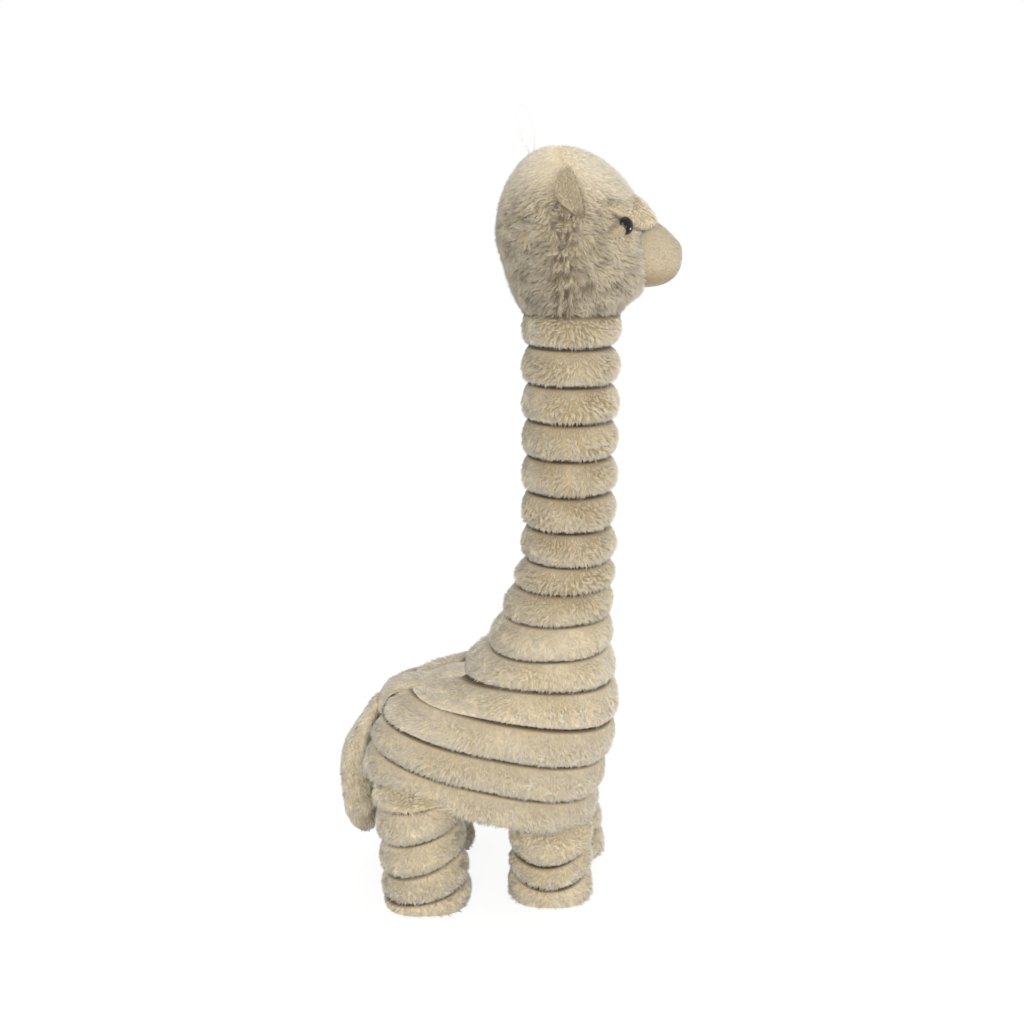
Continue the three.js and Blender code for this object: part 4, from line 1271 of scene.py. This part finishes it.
def spine_strip():
    rows = []
    across = np.linspace(1.0, -1.0, STRIP_COLUMNS)
    for share in np.linspace(SPINE_START, SPINE_END, STRIP_ROWS):
        middle = back_place(share, 0.0)
        deep = back_place(share, -1.0) - middle
        end = min(share - SPINE_START, SPINE_END - share) * BACK_LENGTH
        lead = (share - SPINE_START) * BACK_LENGTH
        sunk = STRIP_SKIN + STRIP_SIDE_SINK * np.abs(across) ** 3
        sunk += STRIP_TIP_SINK * max(0.0, 1 - end / STRIP_TIP) ** 2
        sunk += STRIP_LEAD_SINK * max(0.0, 1 - lead / STRIP_LEAD) ** 2
        row = middle + deep * sunk[:, None]
        row[:, 1] = across * SPINE_HALF_WIDTH
        row += deep * hollow_back(row)[:, None]
        rows.append(row)

    def groom(share, turn, points):
        edge = smoothstep(np.abs(points[:, 1]) / SPINE_HALF_WIDTH, 0.8, 1.0)
        return groom_for(
            len(share), lay=3.6, height=1.7 - 0.8 * edge, spread=22.0, clump=0.3, light=0.75, seam=0.2 * edge)

    patch = fur_patch(Pelt(even_rows(rows, STRIP_ROWS), wraps=False), groom, SALTS["spine"])
    fur_piece("spine_strip_plush", [patch], "body", "spine_strip", "plush", fill=FLAT_FILL)


TAIL_SKIN = 2.2
TAIL_TIP_START = 0.82  # where the tail's tip begins to round off
TAIL_ROOT_SINK = 6.5  # of the tail's root into the back
TAIL_HANG = 9.0  # of the tip below the tip of its solid
TAIL_ROWS = 56
TAIL_COLUMNS = 64
TAIL_SQUARENESS = 2.7
TAIL_OVERHANG = 3.0  # of its strands, past the tip
TAIL_STEPS = 60
TAIL_BEND_STEPS = 18  # of these, to the second place given as sewn_to
TAIL_FILL = 10.0  # by which the tail's pile comes nearer the body than its solid


def tail():
    places = [back_place(TAIL_ROOT, TAIL_ROOT_HALF_DEPTH + SEAM_GAP)]
    places += [back_place(share, TAIL_HALF_DEPTH + SEAM_GAP) for share in ((TAIL_ROOT + 1) / 2, 1.0)]
    places.append(places[-1] + np.array([TAIL_TUCK, 0.0, 0.0]))
    places[-1][2] = TAIL_TIP_Z + TAIL_HALF_DEPTH - TAIL_HANG
    line = smooth_line(places, TAIL_STEPS + 1)
    ahead = unit(np.gradient(line, axis=0))
    rows = []

    def add_row(index, size, overhang):
        share = index / TAIL_STEPS
        swell = float(smoothstep(share, 0.0, 0.6))
        depth = TAIL_ROOT_HALF_DEPTH + (TAIL_HALF_DEPTH - TAIL_ROOT_HALF_DEPTH) * swell
        width = TAIL_ROOT_HALF_WIDTH + (TAIL_HALF_WIDTH - TAIL_ROOT_HALF_WIDTH) * swell
        tip = max(0.0, share - TAIL_TIP_START) / (1 - TAIL_TIP_START)
        round_off = 1 - math.sqrt(1 - (0.97 * tip) ** 2)
        inner = -depth - TAIL_FILL * (0.6 + 0.4 * swell)
        outer = depth - TAIL_SKIN - TAIL_ROOT_SINK * (1 - float(smoothstep(share, 0.0, 0.65)))
        taper = (outer - inner) * round_off
        outer -= 0.6 * taper
        inner += 0.4 * taper
        half_depth = (outer - inner) / 2
        half_width = (width - TAIL_SKIN) * (1 - 0.6 * round_off)
        centre = line[index] + ahead[index] * overhang * max(min(depth, half_depth) - TAIL_SKIN, 1.0)
        tilt = math.atan2(-ahead[index][0], ahead[index][2])
        across = -(outer + inner) / 2
        plane = Plane(
            centre[0] - math.cos(tilt) * across, 0.0, centre[2] - math.sin(tilt) * across, tilt,
            half_depth * size, half_width * size, TAIL_SQUARENESS, 0.0)
        rows.append(outline(plane, 0.0, -full_turn(TAIL_COLUMNS)))

    for angle in (1, 30, 60):
        add_row(0, math.sin(math.radians(angle)), -math.cos(math.radians(angle)))
    for index in range(len(line)):
        add_row(index, 1.0, 0.0)
    for angle in (60, 30, 1):
        add_row(TAIL_STEPS, math.sin(math.radians(angle)), math.cos(math.radians(angle)))

    groom = even_groom(lay=3.8, height=2.4, spread=40.0, clump=0.6, light=0.55)
    patch = fur_patch(Pelt(even_rows(rows, TAIL_ROWS)), groom, SALTS["tail"], overhang=TAIL_OVERHANG)
    sewn_to = ("body", line[1], line[TAIL_BEND_STEPS])
    fur_piece("tail_plush", [patch], "tail", "tail", "plush", fill=0.6, sewn_to=sewn_to)


# Head
def head_level(height, depth):
    over = (height - HEAD_WIDE_Z) / (HEAD_CROWN - depth)
    under = max(0.0, -(height - HEAD_WIDE_Z) / HEAD_WIDE_Z)
    draw = under ** CHEEK_POWER
    round_off = math.sqrt(max(0.0, 1 - over * over)) if over > 0 else 1.0
    lean = CROWN_LEAN * over * over if over > 0 else 0.0
    return Plane(
        NECK_TOP[0] + HEAD_SET_BACK * (1 - under) + lean, 0.0, NECK_TOP[2] + height, 0.0,
        (HEAD_HALF_LENGTH + (HEAD_SEAM_RADIUS - HEAD_HALF_LENGTH) * draw - depth) * round_off,
        (HEAD_HALF_WIDTH + (HEAD_SEAM_RADIUS - HEAD_HALF_WIDTH) * draw - depth) * round_off, 2.0, 0.0)


def eye_seat(side):
    level = head_level(EYE_Z, 0.0)
    angle = math.radians(EYE_ANGLE) * side
    over = (EYE_Z - HEAD_WIDE_Z) / HEAD_CROWN
    outward = np.array([
        math.cos(angle) / HEAD_HALF_LENGTH, math.sin(angle) / HEAD_HALF_WIDTH, over / HEAD_CROWN])
    outward /= np.linalg.norm(outward)
    place = np.array([
        level.x + level.half_length * math.cos(angle), level.half_width * math.sin(angle), level.z])
    return place, outward


BROW_DROOP = 4.0  # of the brow's outer ends
BROW_WRAP = 8.0  # of the brow's outer ends, back around the head
BROW_TAPER = 0.4  # of the brow's thickness, at its outer ends
BROW_SINK = 11.0  # of the brow's rear end, into the forehead
BROW_SKIN = 1.6
BROW_ROWS = 36
BROW_COLUMNS = 72
BROW_LEVELS = np.radians(np.linspace(0.4, 150.0, 40))  # angles from its top, down to its underside
BROW_PILE = {"density": 1.5, "tuft_size": 2.4, "strand_width": 0.5}


def brow_end(across):
    """0 over the middle of the brow and 1 at its outer ends."""
    return smoothstep(np.abs(across), 8.0, 34.0)


def brow_sink(along, across):
    """How deep the brow sits in the forehead: more at its rear."""
    rear = 1 - smoothstep(along, -30.0, 14.0)
    return BROW_SINK * rear * (1 - 0.3 * brow_end(across))


def under_brow(points):
    """Whether points of the head lie inside the brow pad."""
    slope = math.radians(BROW_SLOPE)
    offset = points - head_place(BROW_X, 0.0, BROW_Z)
    outer_end = brow_end(offset[:, 1])
    rise = offset[:, 2] + BROW_DROOP * outer_end
    ahead = offset[:, 0] + BROW_WRAP * outer_end
    along = ahead * math.cos(slope) - rise * math.sin(slope)
    up = ahead * math.sin(slope) + rise * math.cos(slope) + brow_sink(along, offset[:, 1])
    depth = BROW_HALF_DEPTH * np.where(up > 0, 1 - BROW_TAPER * outer_end, 1.0)
    inside = (along / BROW_HALF_LENGTH) ** 2 + (offset[:, 1] / BROW_HALF_WIDTH) ** 2 + (up / depth) ** 2
    return inside < 0.9


CHIN_TUCK = 2.5  # of the head's lower edge, in towards the neck
HEAD_HANG = 2.5  # of the head's lower edge over the first ring
LEAST_RIM = 0.02  # angle, in radians, under which a level of the head has no face half
HEAD_ROWS = 52
HEAD_COLUMNS = 72
HEAD_SWEEP = 42.0  # degrees by which the pile parts from the seam on each side
HEAD_LAY = table_of((0.0, 2.2), (0.25, 2.6), (0.42, 3.8), (0.75, 4.6), (1.0, 4.0))
HEAD_HEIGHT = table_of((0.0, 1.6), (0.25, 1.9), (0.45, 3.4), (0.85, 3.9), (1.0, 3.0))
HEAD_CLUMP = table_of((0.0, 0.05), (0.25, 0.1), (0.45, 0.7), (1.0, 0.8))
HEAD_SPREAD = table_of((0.0, 170.0), (0.03, 70.0), (0.08, 16.0), (0.25, 22.0), (0.5, 48.0), (1.0, 48.0))
# Paleness of the head's pile from crown to chin: the pale crown is painted light from above.
HEAD_LIGHT = table_of((0.0, 1.0), (0.28, 0.9), (0.45, 0.18), (1.0, 0.05))
HEAD_DENSITY = 2.1
HEAD_PILE = {"density": HEAD_DENSITY, "overhang": 1.0, "tuft_size": 1.9, "strand_width": 0.45}
HEAD_FILL = 0.8  # how full the head and the muzzle are
CHIN_LEVELS = 42  # below the widest level of the head


def head_groom_for(front):
    def groom(share, turn, points):
        offset = points - NECK_TOP
        forward = -np.sign(offset[:, 1]) * smoothstep(np.abs(offset[:, 1]), 0.0, 30.0)
        near_seam = np.abs(offset[:, 0] - FACE_SEAM_X)
        low = smoothstep(share, 0.3, 0.5)
        parting = smoothstep(near_seam, 0.0, 14.0)
        specks = np.clip(0.3 + 0.8 * drift(points, 6.0, SALTS["specks"]), 0.0, 1.0)
        seam = 0.75 * low * (1 - smoothstep(near_seam, 2.0, 20.0)) * specks
        mottle = np.clip(drift(points, 8.0, SALTS["mottle"]), 0.0, 1.2)
        mottle += np.clip(drift(points, 19.0, SALTS["blotches"]), 0.0, 1.0)
        seam = np.maximum(seam, (0.04 + 0.27 * mottle) * low)
        upright = low * (1 - parting)
        style = groom_for(
            len(share), lay=HEAD_LAY(share) * (1 - 0.35 * upright),
            height=HEAD_HEIGHT(share) * (1 + 0.15 * upright),
            swirl=forward * parting * (HEAD_SWEEP if front else -HEAD_SWEEP),
            spread=HEAD_SPREAD(share) + 40.0 * upright, clump=HEAD_CLUMP(share), seam=seam,
            light=HEAD_LIGHT(share) + 0.05 * low)
        if not front:
            return style
        muzzle_far = np.hypot(
            offset[:, 1] / MUZZLE_HALF_WIDTH, (offset[:, 2] - MUZZLE_Z) / MUZZLE_HALF_HEIGHT)
        muzzle_far = np.where(offset[:, 0] > 20.0, muzzle_far, 9.0)
        near = 1 - smoothstep(muzzle_far, 1.0, 1.6)
        style.height[:] *= 1 - 0.15 * near
        style.lay[:] *= 1 - 0.3 * near
        style.light[:] += 0.2 * near
        style.seam[:] *= 1 - 0.6 * near
        style.keep[muzzle_far < 0.96] = 0.0
        style.keep[under_brow(points)] = 0.0
        for _, side in SIDES:
            place, _ = eye_seat(side)
            far = np.linalg.norm(points - place, axis=1)
            close = 1 - smoothstep(far, EYE_RADIUS, 20.0)
            style.keep[far < EYE_RADIUS + 0.6] = 0.0
            style.lay[:] *= 1 - 0.55 * close
            style.height[:] *= 1 - 0.6 * close
            style.clump[:] *= 1 - 0.3 * close
            style.light[:] += 0.1 * close
        return style
    return groom


CHEEK_PUFF = 6.0  # of the cheeks, forward under the muzzle
NAPE_TUCK = 3.5  # of the back of the head over the neck, forward
CROWN_LIFT = 3.0
EYE_CHEEK = 9.0  # of the plump cheek before the rear and lower part of each eye, outward


def cheek_at_eye(points, side):
    """How far points of the face stand out beside an eye."""
    place, outward = eye_seat(side)
    rearward = np.array([-abs(outward[1]), side * outward[0], 0.0])
    offset = points - place
    behind = (offset @ rearward - 5.5) / 4.5
    below = (offset[:, 2] + 3.5) / 5.0
    near = np.exp(-behind ** 2 - below ** 2) * (np.abs(offset @ outward) < 20.0)
    return EYE_CHEEK * near[:, None] * outward


def head_halves():
    crown = [math.sin(math.radians(angle)) for angle in (89.8, *range(88, 0, -2))]
    heights = [HEAD_WIDE_Z + (HEAD_CROWN - HEAD_SKIN) * share for share in crown]
    heights += list(np.linspace(HEAD_WIDE_Z, -HEAD_HANG, CHIN_LEVELS))
    tucks = [CHIN_TUCK * (1 - float(smoothstep(height, 0.0, 16.0))) for height in heights]
    levels = [head_level(height, HEAD_SKIN + tuck) for height, tuck in zip(heights, tucks)]
    seam_x = NECK_TOP[0] + FACE_SEAM_X
    reaches = [(seam_x - level.x) / max(level.half_length, 1e-6) for level in levels]
    rims = [math.acos(max(-1.0, min(1.0, reach))) for reach in reaches]
    for name, front in (("head_back", False), ("head_face", True)):
        rows = []
        for level, rim in zip(levels, rims):
            if front and rim < LEAST_RIM:
                continue
            first, last = (-rim, rim) if front else (rim, 2 * math.pi - rim)
            row = outline(level, 0.0, np.linspace(first, last, HEAD_COLUMNS))
            offset = row - NECK_TOP
            cheek = smoothstep(offset[:, 0], 10.0, 40.0) * smoothstep(offset[:, 2], 2.0, 14.0)
            cheek *= 1 - smoothstep(offset[:, 2], 30.0, 52.0)
            row[:, 0] += CHEEK_PUFF * cheek
            nape = smoothstep(-offset[:, 0], 10.0, 40.0) * smoothstep(offset[:, 2], 0.0, 16.0)
            row[:, 0] += NAPE_TUCK * nape * (1 - smoothstep(offset[:, 2], 30.0, 56.0))
            row[:, 2] += CROWN_LIFT * smoothstep(offset[:, 2], HEAD_WIDE_Z, HEAD_WIDE_Z + HEAD_CROWN)
            for _, side in SIDES:
                row += cheek_at_eye(row, side)
            rows.append(row)
        pelt = Pelt(even_rows(rows, HEAD_ROWS), wraps=False)
        patch = fur_patch(pelt, head_groom_for(front), SALTS[name], **HEAD_PILE)
        fur_piece(f"{name}_plush", [patch], "head", name, "plush", fill=HEAD_FILL)


def brow_pad():
    slope = math.radians(BROW_SLOPE)
    half = np.array([BROW_HALF_LENGTH, BROW_HALF_WIDTH, BROW_HALF_DEPTH]) - BROW_SKIN
    angles = full_turn(BROW_COLUMNS)
    rows = []
    for fall in BROW_LEVELS:
        local = np.stack([
            half[0] * math.sin(fall) * np.cos(angles), half[1] * math.sin(fall) * np.sin(angles),
            np.full(len(angles), half[2] * math.cos(fall))], 1)
        outer_end = brow_end(local[:, 1])
        local[:, 2] *= np.where(local[:, 2] > 0, 1 - BROW_TAPER * outer_end, 1.0)
        local[:, 2] -= brow_sink(local[:, 0], local[:, 1])
        x = local[:, 0] * math.cos(slope) + local[:, 2] * math.sin(slope) - BROW_WRAP * outer_end
        z = -local[:, 0] * math.sin(slope) + local[:, 2] * math.cos(slope) - BROW_DROOP * outer_end
        rows.append(np.stack([x, local[:, 1], z], 1) + head_place(BROW_X, 0.0, BROW_Z))

    def groom(share, turn, points):
        # Painted shadow on the brow's underside: darker and less pale towards it.
        under = smoothstep(share, 0.66, 0.9)
        return groom_for(
            len(share), lay=3.2, height=1.8 - 0.6 * under, spread=26.0, clump=0.25,
            seam=0.7 * under, light=0.3 - 0.2 * under)

    patch = fur_patch(Pelt(even_rows(rows, BROW_ROWS)), groom, SALTS["brow"], **BROW_PILE)
    fur_piece("brow_pad_plush", [patch], "head", "brow_pad", "pale_plush", fill=0.6)


MUZZLE_SKIN = 0.9
NOSE_POWER = 2.5  # 2 is a round nose, more is blunter
MUZZLE_ROOT = 26.0  # where the muzzle's cover begins, inside the face
MUZZLE_SEAM = 38.0  # where it comes out of the face; it has no nap up to there
# Height of the muzzle above its middle, over that of its solid
BRIDGE = table_of((40.0, 1.15), (62.0, 1.15), (68.0, 1.04), (73.0, 0.91), (78.0, 0.82), (84.0, 0.9))
CHIN_FALL = 0.05  # by which it is deeper below its middle, over its depth there
MUZZLE_ROWS = 48
MUZZLE_COLUMNS = 96
MUZZLE_SQUARENESS = 2.3
PUCKER = 0.45  # of the velour, where it is sewn to the face
PUCKER_END = 56.0  # where that runs out
MUZZLE_NAP = {"density": 1.2, "tuft_size": 2.0, "strand_width": 0.28}


def muzzle():
    shoulder = MUZZLE_REACH - MUZZLE_NOSE
    angles = full_turn(MUZZLE_COLUMNS)
    rows = []

    def add_row(x, size):
        folds = np.cos(13 * angles + 2.0 * np.sin(3 * angles))
        pucker = PUCKER * (1 - float(smoothstep(x, MUZZLE_SEAM, PUCKER_END))) * folds
        depth = MUZZLE_SKIN + pucker[:, None]
        middle = head_place(x, 0.0, MUZZLE_Z)
        half_height = MUZZLE_HALF_HEIGHT * size
        plane = Plane(*middle, math.pi / 2, half_height, MUZZLE_HALF_WIDTH * size, MUZZLE_SQUARENESS, 0.0)
        rim = outline(plane, 0.0, angles)
        row = rim - unit(rim - middle) * np.minimum(depth, half_height * 0.9)
        above = np.maximum(0.0, row[:, 2] - middle[2])
        row[:, 2] += above * (float(BRIDGE(x)) - 1.0)
        row[:, 2] -= CHIN_FALL * np.maximum(0.0, middle[2] - row[:, 2])
        rows.append(row)

    for x in np.linspace(MUZZLE_ROOT, shoulder, 14):
        add_row(x, 1.0)
    for angle in np.radians(np.linspace(5.0, 89.9, 32)):
        reach = math.sin(angle) ** (2 / NOSE_POWER)
        add_row(shoulder + (MUZZLE_NOSE - MUZZLE_SKIN) * reach, math.cos(angle) ** (2 / NOSE_POWER))

    def groom(share, turn, points):
        # Painted shade: the velour darker below the muzzle's middle.
        below = smoothstep(NECK_TOP[2] + MUZZLE_Z - points[:, 2], 4.0, 20.0)
        inside = (points[:, 0] - NECK_TOP[0]) < MUZZLE_SEAM
        return groom_for(
            len(share), keep=np.where(inside, 0.0, 1.0), lay=1.4, height=0.45, spread=50.0, clump=0.1,
            seam=0.6 * below, light=0.5)

    patch = fur_patch(Pelt(even_rows(rows, MUZZLE_ROWS)), groom, SALTS["muzzle"], **MUZZLE_NAP)
    fur_piece("muzzle_velour", [patch], "head", "muzzle", "velour", VELOUR, fill=HEAD_FILL)


EYE_PROFILE_STEPS = 14
EYE_COLUMNS = 48
SHANK_RADIUS = 2.0
SHANK_LENGTH = 13.0


def eyes():
    for name, side in SIDES:
        place, outward = eye_seat(side)
        across = np.cross(outward, [0.0, 0.0, 1.0])
        across /= np.linalg.norm(across)
        up = np.cross(across, outward)
        profile = [
            (0.05, -SHANK_LENGTH), (SHANK_RADIUS * 0.9, -SHANK_LENGTH), (SHANK_RADIUS, -SHANK_LENGTH + 0.4),
            (SHANK_RADIUS, SEAM_GAP), (EYE_RADIUS * 0.95, SEAM_GAP), (EYE_RADIUS, SEAM_GAP + 0.25)]
        for angle in np.radians(np.linspace(6.0, 89.0, EYE_PROFILE_STEPS)):
            profile.append((EYE_RADIUS * math.cos(angle), SEAM_GAP + EYE_DOME * math.sin(angle)))
        angles = full_turn(EYE_COLUMNS)
        rows = []
        for radius, height in profile[::-1]:
            ring = np.outer(np.cos(angles), across) + np.outer(np.sin(angles), up)
            rows.append(place + outward * height + ring * radius)
        piece = solid_piece(f"eye_{name}_dome", np.array(rows), EYE_BLACK)
        finish_piece(piece, "head", f"eye_{name}", "eye_black")
        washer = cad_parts[f"eye_washer_{name}"].data.materials
        washer.clear()
        washer.append(PLASTIC)


# Half widths of an ear from root to tip, behind its middle and before it
EAR_BACK = table_of(
    (0.0, 1.5), (0.12, 5.0), (0.3, 9.5), (0.5, 11.5), (0.7, 9.0), (0.88, 5.0), (0.96, 2.2), (1.0, 0.3))
EAR_FRONT = table_of(
    (0.0, 1.5), (0.12, 4.0), (0.3, 6.0), (0.5, 6.5), (0.7, 5.5), (0.88, 3.2), (0.96, 1.6), (1.0, 0.3))
EAR_ROWS = 30
EAR_COLUMNS = 21
EAR_NAP = {"density": 2.0, "skin_light": 0.35, "tuft_size": 1.8, "strand_width": 0.4}
EAR_CUP = 1.6
EAR_ROOT_STEP = 4.5  # of the ear's root, forward
EAR_SEAT = 1.0  # of the ear into the head's pile


def ears():
    lean = math.radians(EAR_LEAN)
    for name, side in SIDES:
        level = head_level(EAR_Z, 0.0)
        root = np.array([level.x, side * (level.half_width + SEAM_GAP * 1.5 + EAR_LAYER), level.z])
        for layer, way in (("ear_lining", side), ("ear_outer", -side)):
            rows = []
            for share in np.linspace(1.0, 0.0, EAR_ROWS):
                across = np.linspace(-1.0, 1.0, EAR_COLUMNS) * (-way)
                x = np.where(across < 0, across * float(EAR_BACK(share)), across * float(EAR_FRONT(share)))
                x = x + EAR_ROOT_STEP * (1 - smoothstep(share, 0.0, 0.5))
                edge = np.abs(across) ** 4 + (0.5 if share > 0.97 else 0.0)
                thick = SEAM_GAP / 2 + (EAR_LAYER - 0.9) * (1 - np.minimum(edge, 1.0) * 0.7)
                cup = EAR_CUP * (1 - across ** 2) * math.sin(math.pi * min(1.0, share + 0.15)) * -side
                z = EAR_HEIGHT * share
                rows.append(np.stack([
                    root[0] + x * math.cos(lean) - z * math.sin(lean),
                    root[1] + way * thick + cup - side * EAR_SEAT,
                    root[2] + x * math.sin(lean) + z * math.cos(lean)], 1))

            def groom(share, turn, points):
                tip = 1 - smoothstep(share, 0.0, 0.14)
                rim = smoothstep(np.abs(turn - 0.5), 0.4, 0.5) * smoothstep(share, 0.3, 0.6)
                return groom_for(
                    len(share), lay=2.2 + 2.4 * tip, height=1.1 + 0.8 * tip, swirl=180.0, spread=34.0,
                    clump=0.5, light=0.1 + 0.6 * tip,
                    seam=np.maximum(0.4 + 0.3 * smoothstep(share, 0.8, 1.0), 0.8 * rim) * (1 - tip))

            patch = fur_patch(Pelt(rows, wraps=False), groom, SALTS[layer] + side, **EAR_NAP)
            slot = "velour" if layer == "ear_lining" else "plush"
            fur_piece(f"{layer}_{name}_nap", [patch], f"ear_{name}", f"{layer}_{name}", slot)


# Filling
FILLING_BODIES = {f"neck_filling_{index}": f"neck_{index}" for index in range(1, NECK_RINGS + 1)}
FILLING_BODIES.update({f"{name}_filling": name for name, *_ in LEGS})
FILLING_BODIES.update({"body_filling": "body", "head_filling": "head", "muzzle_filling": "head"})
LIMB_FILLING_SINK = 3.0  # of the neck's and legs' filling, clear of the covers that turn against it
LUMP_SIZE = 3.5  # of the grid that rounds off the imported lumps


def fillings():
    """Loose fibre inside each cover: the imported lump, rounded, with a lumpy surface that stays inside it."""
    for number, (node, body) in enumerate(sorted(FILLING_BODIES.items())):
        piece = new_object(f"{node}_fibre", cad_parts[node].data.copy())
        remesh = piece.modifiers.new("lump", "REMESH")
        remesh.mode = "VOXEL"
        remesh.voxel_size = LUMP_SIZE * MM
        made = piece.evaluated_get(bpy.context.evaluated_depsgraph_get())
        mesh = bpy.data.meshes.new_from_object(made)
        piece.modifiers.clear()
        piece.data = mesh
        count = len(mesh.vertices)
        places = np.zeros(count * 3, np.float32)
        outward = np.zeros(count * 3, np.float32)
        mesh.vertices.foreach_get("co", places)
        mesh.vertices.foreach_get("normal", outward)
        places = places.reshape(-1, 3).astype(float)
        lumps = drift(places / MM, 9.0, SALTS["lumps"] + number) * 0.5
        lumps += drift(places / MM, 4.0, SALTS["fine_lumps"] + number) * 0.25
        sunk = 1.0 + np.clip(lumps + 0.5, 0.0, 1.6)
        if node == "body_filling":
            sunk += 2.0 * hollow_back(places / MM, 35.0, 60.0)
        elif body != "head":
            sunk += LIMB_FILLING_SINK
        places -= outward.reshape(-1, 3) * (sunk * MM)[:, None]
        mesh.vertices.foreach_set("co", places.astype(np.float32).ravel())
        mesh.materials.clear()
        mesh.materials.append(FIBRE)
        mesh.shade_smooth()
        finish_piece(piece, body, node, "fibre_filling", fill=0.7)


hanging_loop()
neck_rings()
body_rings()
legs()
belly_panel()
spine_strip()
tail()
head_halves()
brow_pad()
muzzle()
eyes()
ears()
fillings()
